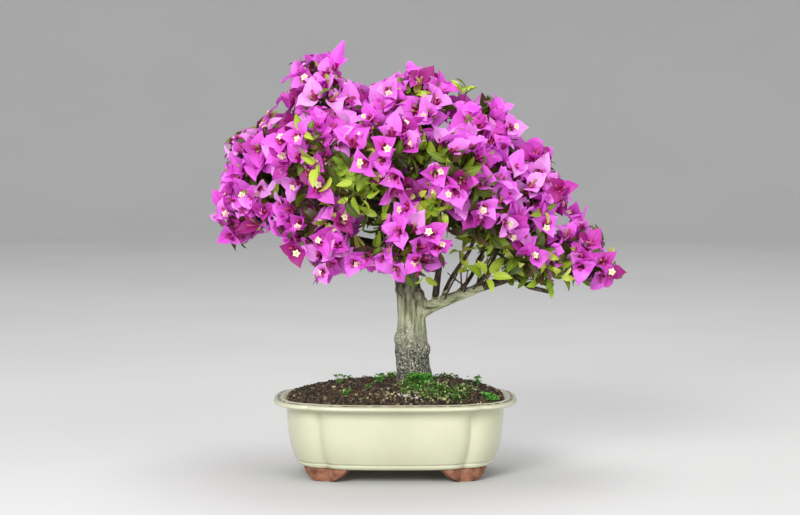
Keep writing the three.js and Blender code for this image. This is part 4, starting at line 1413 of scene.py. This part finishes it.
# More leaves in the patches that face the front: middle, radii and number of sprays
leafFills = [
    ((-70, -122, 327), (37, 20, 29), 30),
    ((-103, -136, 348), (22, 8, 12), 5),
    ((14, -128, 303), (20, 9, 12), 9),
    ((154, -44, 222), (13, 12, 7), 2),
]


def growLeafFills():
    draw = random.Random(seeds["fills"])
    for middle, radii, number in leafFills:
        for _ in range(number):
            end = np.array(middle) + np.array(radii) * unit(wander(draw)) * draw.random() ** 0.4
            line = twigLine(mix(nearestMass(end).centre, end, 0.3), end, 2 * wander(draw))
            if any(inSky(point) for point in line):
                continue
            addTwig(line, "fine", greenTwig)
            facing = unit(np.array([0, -0.5, -0.3]) + 0.7 * wander(draw))
            addLeafSpray(draw, end, facing, draw.randint(2, 4), draw.uniform(0.78, 1.05))


# Leaves in darker tones, painted shade, in the crown's middle, on twigs from the leader
heart = {"middle": (-25, 8, 298), "radii": (62, 34, 32), "number": 56, "twigs": 0.6, "scale": 1.15}


def growHeart():
    draw = random.Random(seeds["heart"])
    for _ in range(heart["number"]):
        way = unit(wander(draw))
        end = np.array(heart["middle"]) + np.array(heart["radii"]) * way * draw.uniform(0.3, 1)
        line = twigLine(limbs["leader"].at(draw.uniform(0, heart["twigs"])), end, 2 * wander(draw))
        if any(inSky(point) for point in (*line, end + leaf["length"] * way)):
            continue
        addTwig(line, "heart", brownTwig)
        addLeafSpray(draw, end, way, draw.randint(4, 6), heart["scale"], deep=True, free=True)


# Leaf sprays that grow straight from a limb: share along it, end of the twig, number of leaves, scale
limbSprays = [
    ("bough_right", 0.36, (45, -40, 250), 2, 0.9),
    ("bough_right", 0.38, (54, -35, 229), 3, 0.95),
    ("bough_right", 0.43, (76, -42, 223), 5, 1.1),
    ("bough_right", 0.46, (74, -50, 270), 4, 0.95),
    ("bough_right", 0.48, (85, -50, 261), 5, 1.0),
    ("bough_right", 0.5, (97, -50, 255), 4, 0.95),
    ("bough_right", 0.64, (130, -38, 219), 4, 1.0),
    ("bough_right", 0.68, (143, -38, 223), 5, 1.1),
    ("bough_right", 0.72, (153, -32, 227), 3, 0.95),
    ("trunk", 0.904, (-14, -34, 224), 2, 0.85),
    ("trunk", 0.923, (6, -30, 222), 2, 0.8),
    ("bough_shoulder_right", 0.9, (46, -4, 426), 5, 0.85),
    ("bough_shoulder_right", 0.8, (54, 2, 424), 3, 0.85),
    ("bough_peak_left", 1, (-92, -50, 426), 2, 0.85),
    ("bough_front_upper_left", 1, (-120, -134, 378), 2, 0.85),
    ("bough_front_upper_left", 0.95, (-108, -138, 344), 2, 0.85),
    ("bough_front_upper_right", 1, (-1, -126, 312), 2, 0.9),
    ("bough_front_upper_right", 1, (26, -122, 296), 3, 0.9),
    ("bough_right_side", 1, (136, -44, 294), 3, 0.85),
    ("bough_right", 1, (208, -14, 244), 3, 0.85),
    ("bough_left", 0.24, (-47, -70, 252), 4, 0.9),
    ("bough_left", 0.3, (-58, -74, 250), 3, 0.85),
]


def growLimbSprays():
    draw = random.Random(seeds["limbs"])
    for source, share, end, number, scale in limbSprays:
        end = np.array(end, float)
        line = twigLine(limbs[source].at(share), end, np.array([0, 0, 2.0]))
        addTwig(line, "limb", brownTwig)
        addLeafSpray(draw, end, unit(end - line[3]), number, scale, free=True)


# The tall folded bract that stands at the very top, with two shorter ones
topBract = {
    "mass": "peak_left", "root": (-91, -44, 444), "axis": (0.3, 0, 1), "bow": (3, 0, 0), "tone": 3,
    # turn about the twig, length, width, and angles to the twig at root and tip
    "bracts": [(0.4, 37, 17, 0.02, 0.2), (2.4, 24, 20, 0.4, 1.1), (4.5, 25, 20, 0.4, 1.2)],
    "bend": {"outline": bractOutline, "fold": 0.5, "wave": 0.8, "twist": 0.1},
}


def addTopBract():
    draw = random.Random(seeds["top"])
    mass = next(mass for mass in masses if mass.name == topBract["mass"])
    root = np.array(topBract["root"], float)
    axis = unit(np.array(topBract["axis"], float))
    addTwig(twigLine(mass.centre, root, np.array(topBract["bow"], float)), "top", brownTwig)
    for turn, long, wide, start, end in topBract["bracts"]:
        bend = {**topBract["bend"], "length": long, "width": wide, "start": start, "end": end,
                "phase": draw.uniform(*anyTurn)}
        points = bladePoints(root, axis, around(axis, turn), bract, bend)
        heaps["bractsFront"].add(points, bractFaces, bractLooks(topBract["tone"]))


# Looks of the blades, flowers and twigs
bractLook = {"roughness": 0.55, "grain": 420, "bump": 0.35, "through": 0.36}
leafLook = {"roughness": 0.42, "grain": 500, "bump": 0.3, "through": 0.32}
flowerLook = {"roughness": 0.6, "grain": 700, "bump": 0.2, "through": 0.15}
flowerTones = {"pinkTube": (188, 62, 120), "greenTube": (170, 140, 96), "creamStar": (246, 236, 196),
               "starEye": (206, 196, 96)}
twigLook = {"grain": 380, "roughness": 0.8, "stretch": (1, 1, 0.4), "bump": 0.5, "bumpDepth": 0.001,
            "bumpGrain": 600}
twigTones = {"brownTwig": ((62, 44, 36), (104, 82, 62)), "greenTwig": ((96, 92, 48), (134, 128, 70))}


def makeCrown():
    growFrontBlossoms()
    for k, mass in enumerate(masses):
        growMass(mass, crown["seed"] + 7 * k)
    growLeafFills()
    growHeart()
    growLimbSprays()
    addTopBract()
    print("crown", counts)
    bractFinishes = [papery(f"bract{k}", paint(*tone), bractLook)
                     for k, tone in enumerate([*bractTones, throatTone])]
    leafFinishes = [papery(f"leaf{k}", paint(*tone), leafLook) for k, tone in enumerate(leafTones)]
    flowerFinishes = [papery(name, paint(*tone), flowerLook) for name, tone in flowerTones.items()]
    twigFinishes = [mottled(name, {**twigLook, "stops": [(0.35, paint(*low)), (0.65, paint(*high))]})
                    for name, (low, high) in twigTones.items()]
    front = [f"mass_{mass.name}" for mass in masses if mass.centre[1] < crown["backFrom"]]
    back = [f"mass_{mass.name}" for mass in masses if mass.centre[1] >= crown["backFrom"]]
    addPiece("bractsFront", heaps["bractsFront"].mesh("bractsFront"), bractFinishes, front)
    addPiece("bractsBack", heaps["bractsBack"].mesh("bractsBack"), bractFinishes, back)
    addPiece("leaves", heaps["leaves"].mesh("leaves"), leafFinishes)
    addPiece("starFlowers", heaps["flowers"].mesh("starFlowers"), flowerFinishes)
    addPiece("twigs", heaps["twigs"].mesh("twigs"), twigFinishes)


# Floor, light and camera
studio = {
    "floor": (0.6, 0.596, 0.585, 1), "floorShade": 0.97, "reach": 4.6, "sweep": 2.2, "steps": 96,
    "sky": (0.95, 0.97, 1.0, 1), "skyStrength": 0.5, "aim": (-0.01, 0, 0.24),
    # name, place, width and power
    "lamps": [("key", (-1.0, -2.6, 1.6), 1.2, 78), ("fill", (1.6, -2.2, 1.2), 1.7, 24),
              ("top", (0.1, 0.4, 4.2), 3.0, 100)],
}


# A round floor that sweeps up into a wall
def makeFloor():
    bm = bmesh.new()
    reach, sweep = studio["reach"], studio["sweep"]
    profile = [(reach * share, 0) for share in (0.0, 0.1, 0.3, 0.6, 1)]
    for angle in np.linspace(0, math.pi / 2, 13)[1:]:
        profile.append((reach + sweep * math.sin(angle), sweep * (1 - math.cos(angle))))
    verts = [bm.verts.new((out, 0, z)) for out, z in profile]
    edges = [bm.edges.new(pair) for pair in zip(verts, verts[1:])]
    bmesh.ops.spin(bm, geom=verts + edges, cent=(0, 0, 0), axis=(0, 0, 1), angle=2 * math.pi,
                   steps=studio["steps"], use_merge=True)
    bmesh.ops.remove_doubles(bm, verts=bm.verts, dist=1e-5)
    bmesh.ops.recalc_face_normals(bm, faces=bm.faces)
    ground = bpy.data.objects.new("paleFloor", meshOf(bm, "paleFloor"))
    shaded = (*(studio["floorShade"] * value for value in studio["floor"][:3]), 1)
    ground.data.materials.append(mottled("paleFloor", {
        "stops": [(0.4, studio["floor"]), (0.6, shaded)], "grain": 2, "roughness": 0.9,
        "bump": 0.02, "bumpDepth": 0.001, "bumpGrain": 200}))
    ground.data.shade_smooth()
    bpy.context.scene.collection.objects.link(ground)


def makeLight():
    world = bpy.data.worlds.new("studio")
    world.use_nodes = True
    background = world.node_tree.nodes["Background"]
    background.inputs["Color"].default_value = studio["sky"]
    background.inputs["Strength"].default_value = studio["skyStrength"]
    bpy.context.scene.world = world
    for name, place, size, power in studio["lamps"]:
        lamp = bpy.data.lights.new(name, "AREA")
        lamp.size = size
        lamp.energy = power
        stand = bpy.data.objects.new(name, lamp)
        stand.location = place
        stand.rotation_euler = (Vector(studio["aim"]) - Vector(place)).to_track_quat("-Z", "Y").to_euler()
        bpy.context.scene.collection.objects.link(stand)


def makeCamera():
    eye = bpy.data.objects.new("camera", bpy.data.cameras.new("camera"))
    eye.data.lens = camera["lens"]
    eye.data.sensor_width = camera["sensor"]
    eye.location = Vector(camera["place"]) * mm
    eye.rotation_euler = (math.radians(90 - camera["dip"]), 0, 0)
    bpy.context.scene.collection.objects.link(eye)
    bpy.context.scene.camera = eye


makePot()
makeFeet()
makeSoil()
makeCrumbs()
makeLitter()
makeWood()
makeCrown()
makeFloor()
makeLight()
makeCamera()
print("floor, light and camera")
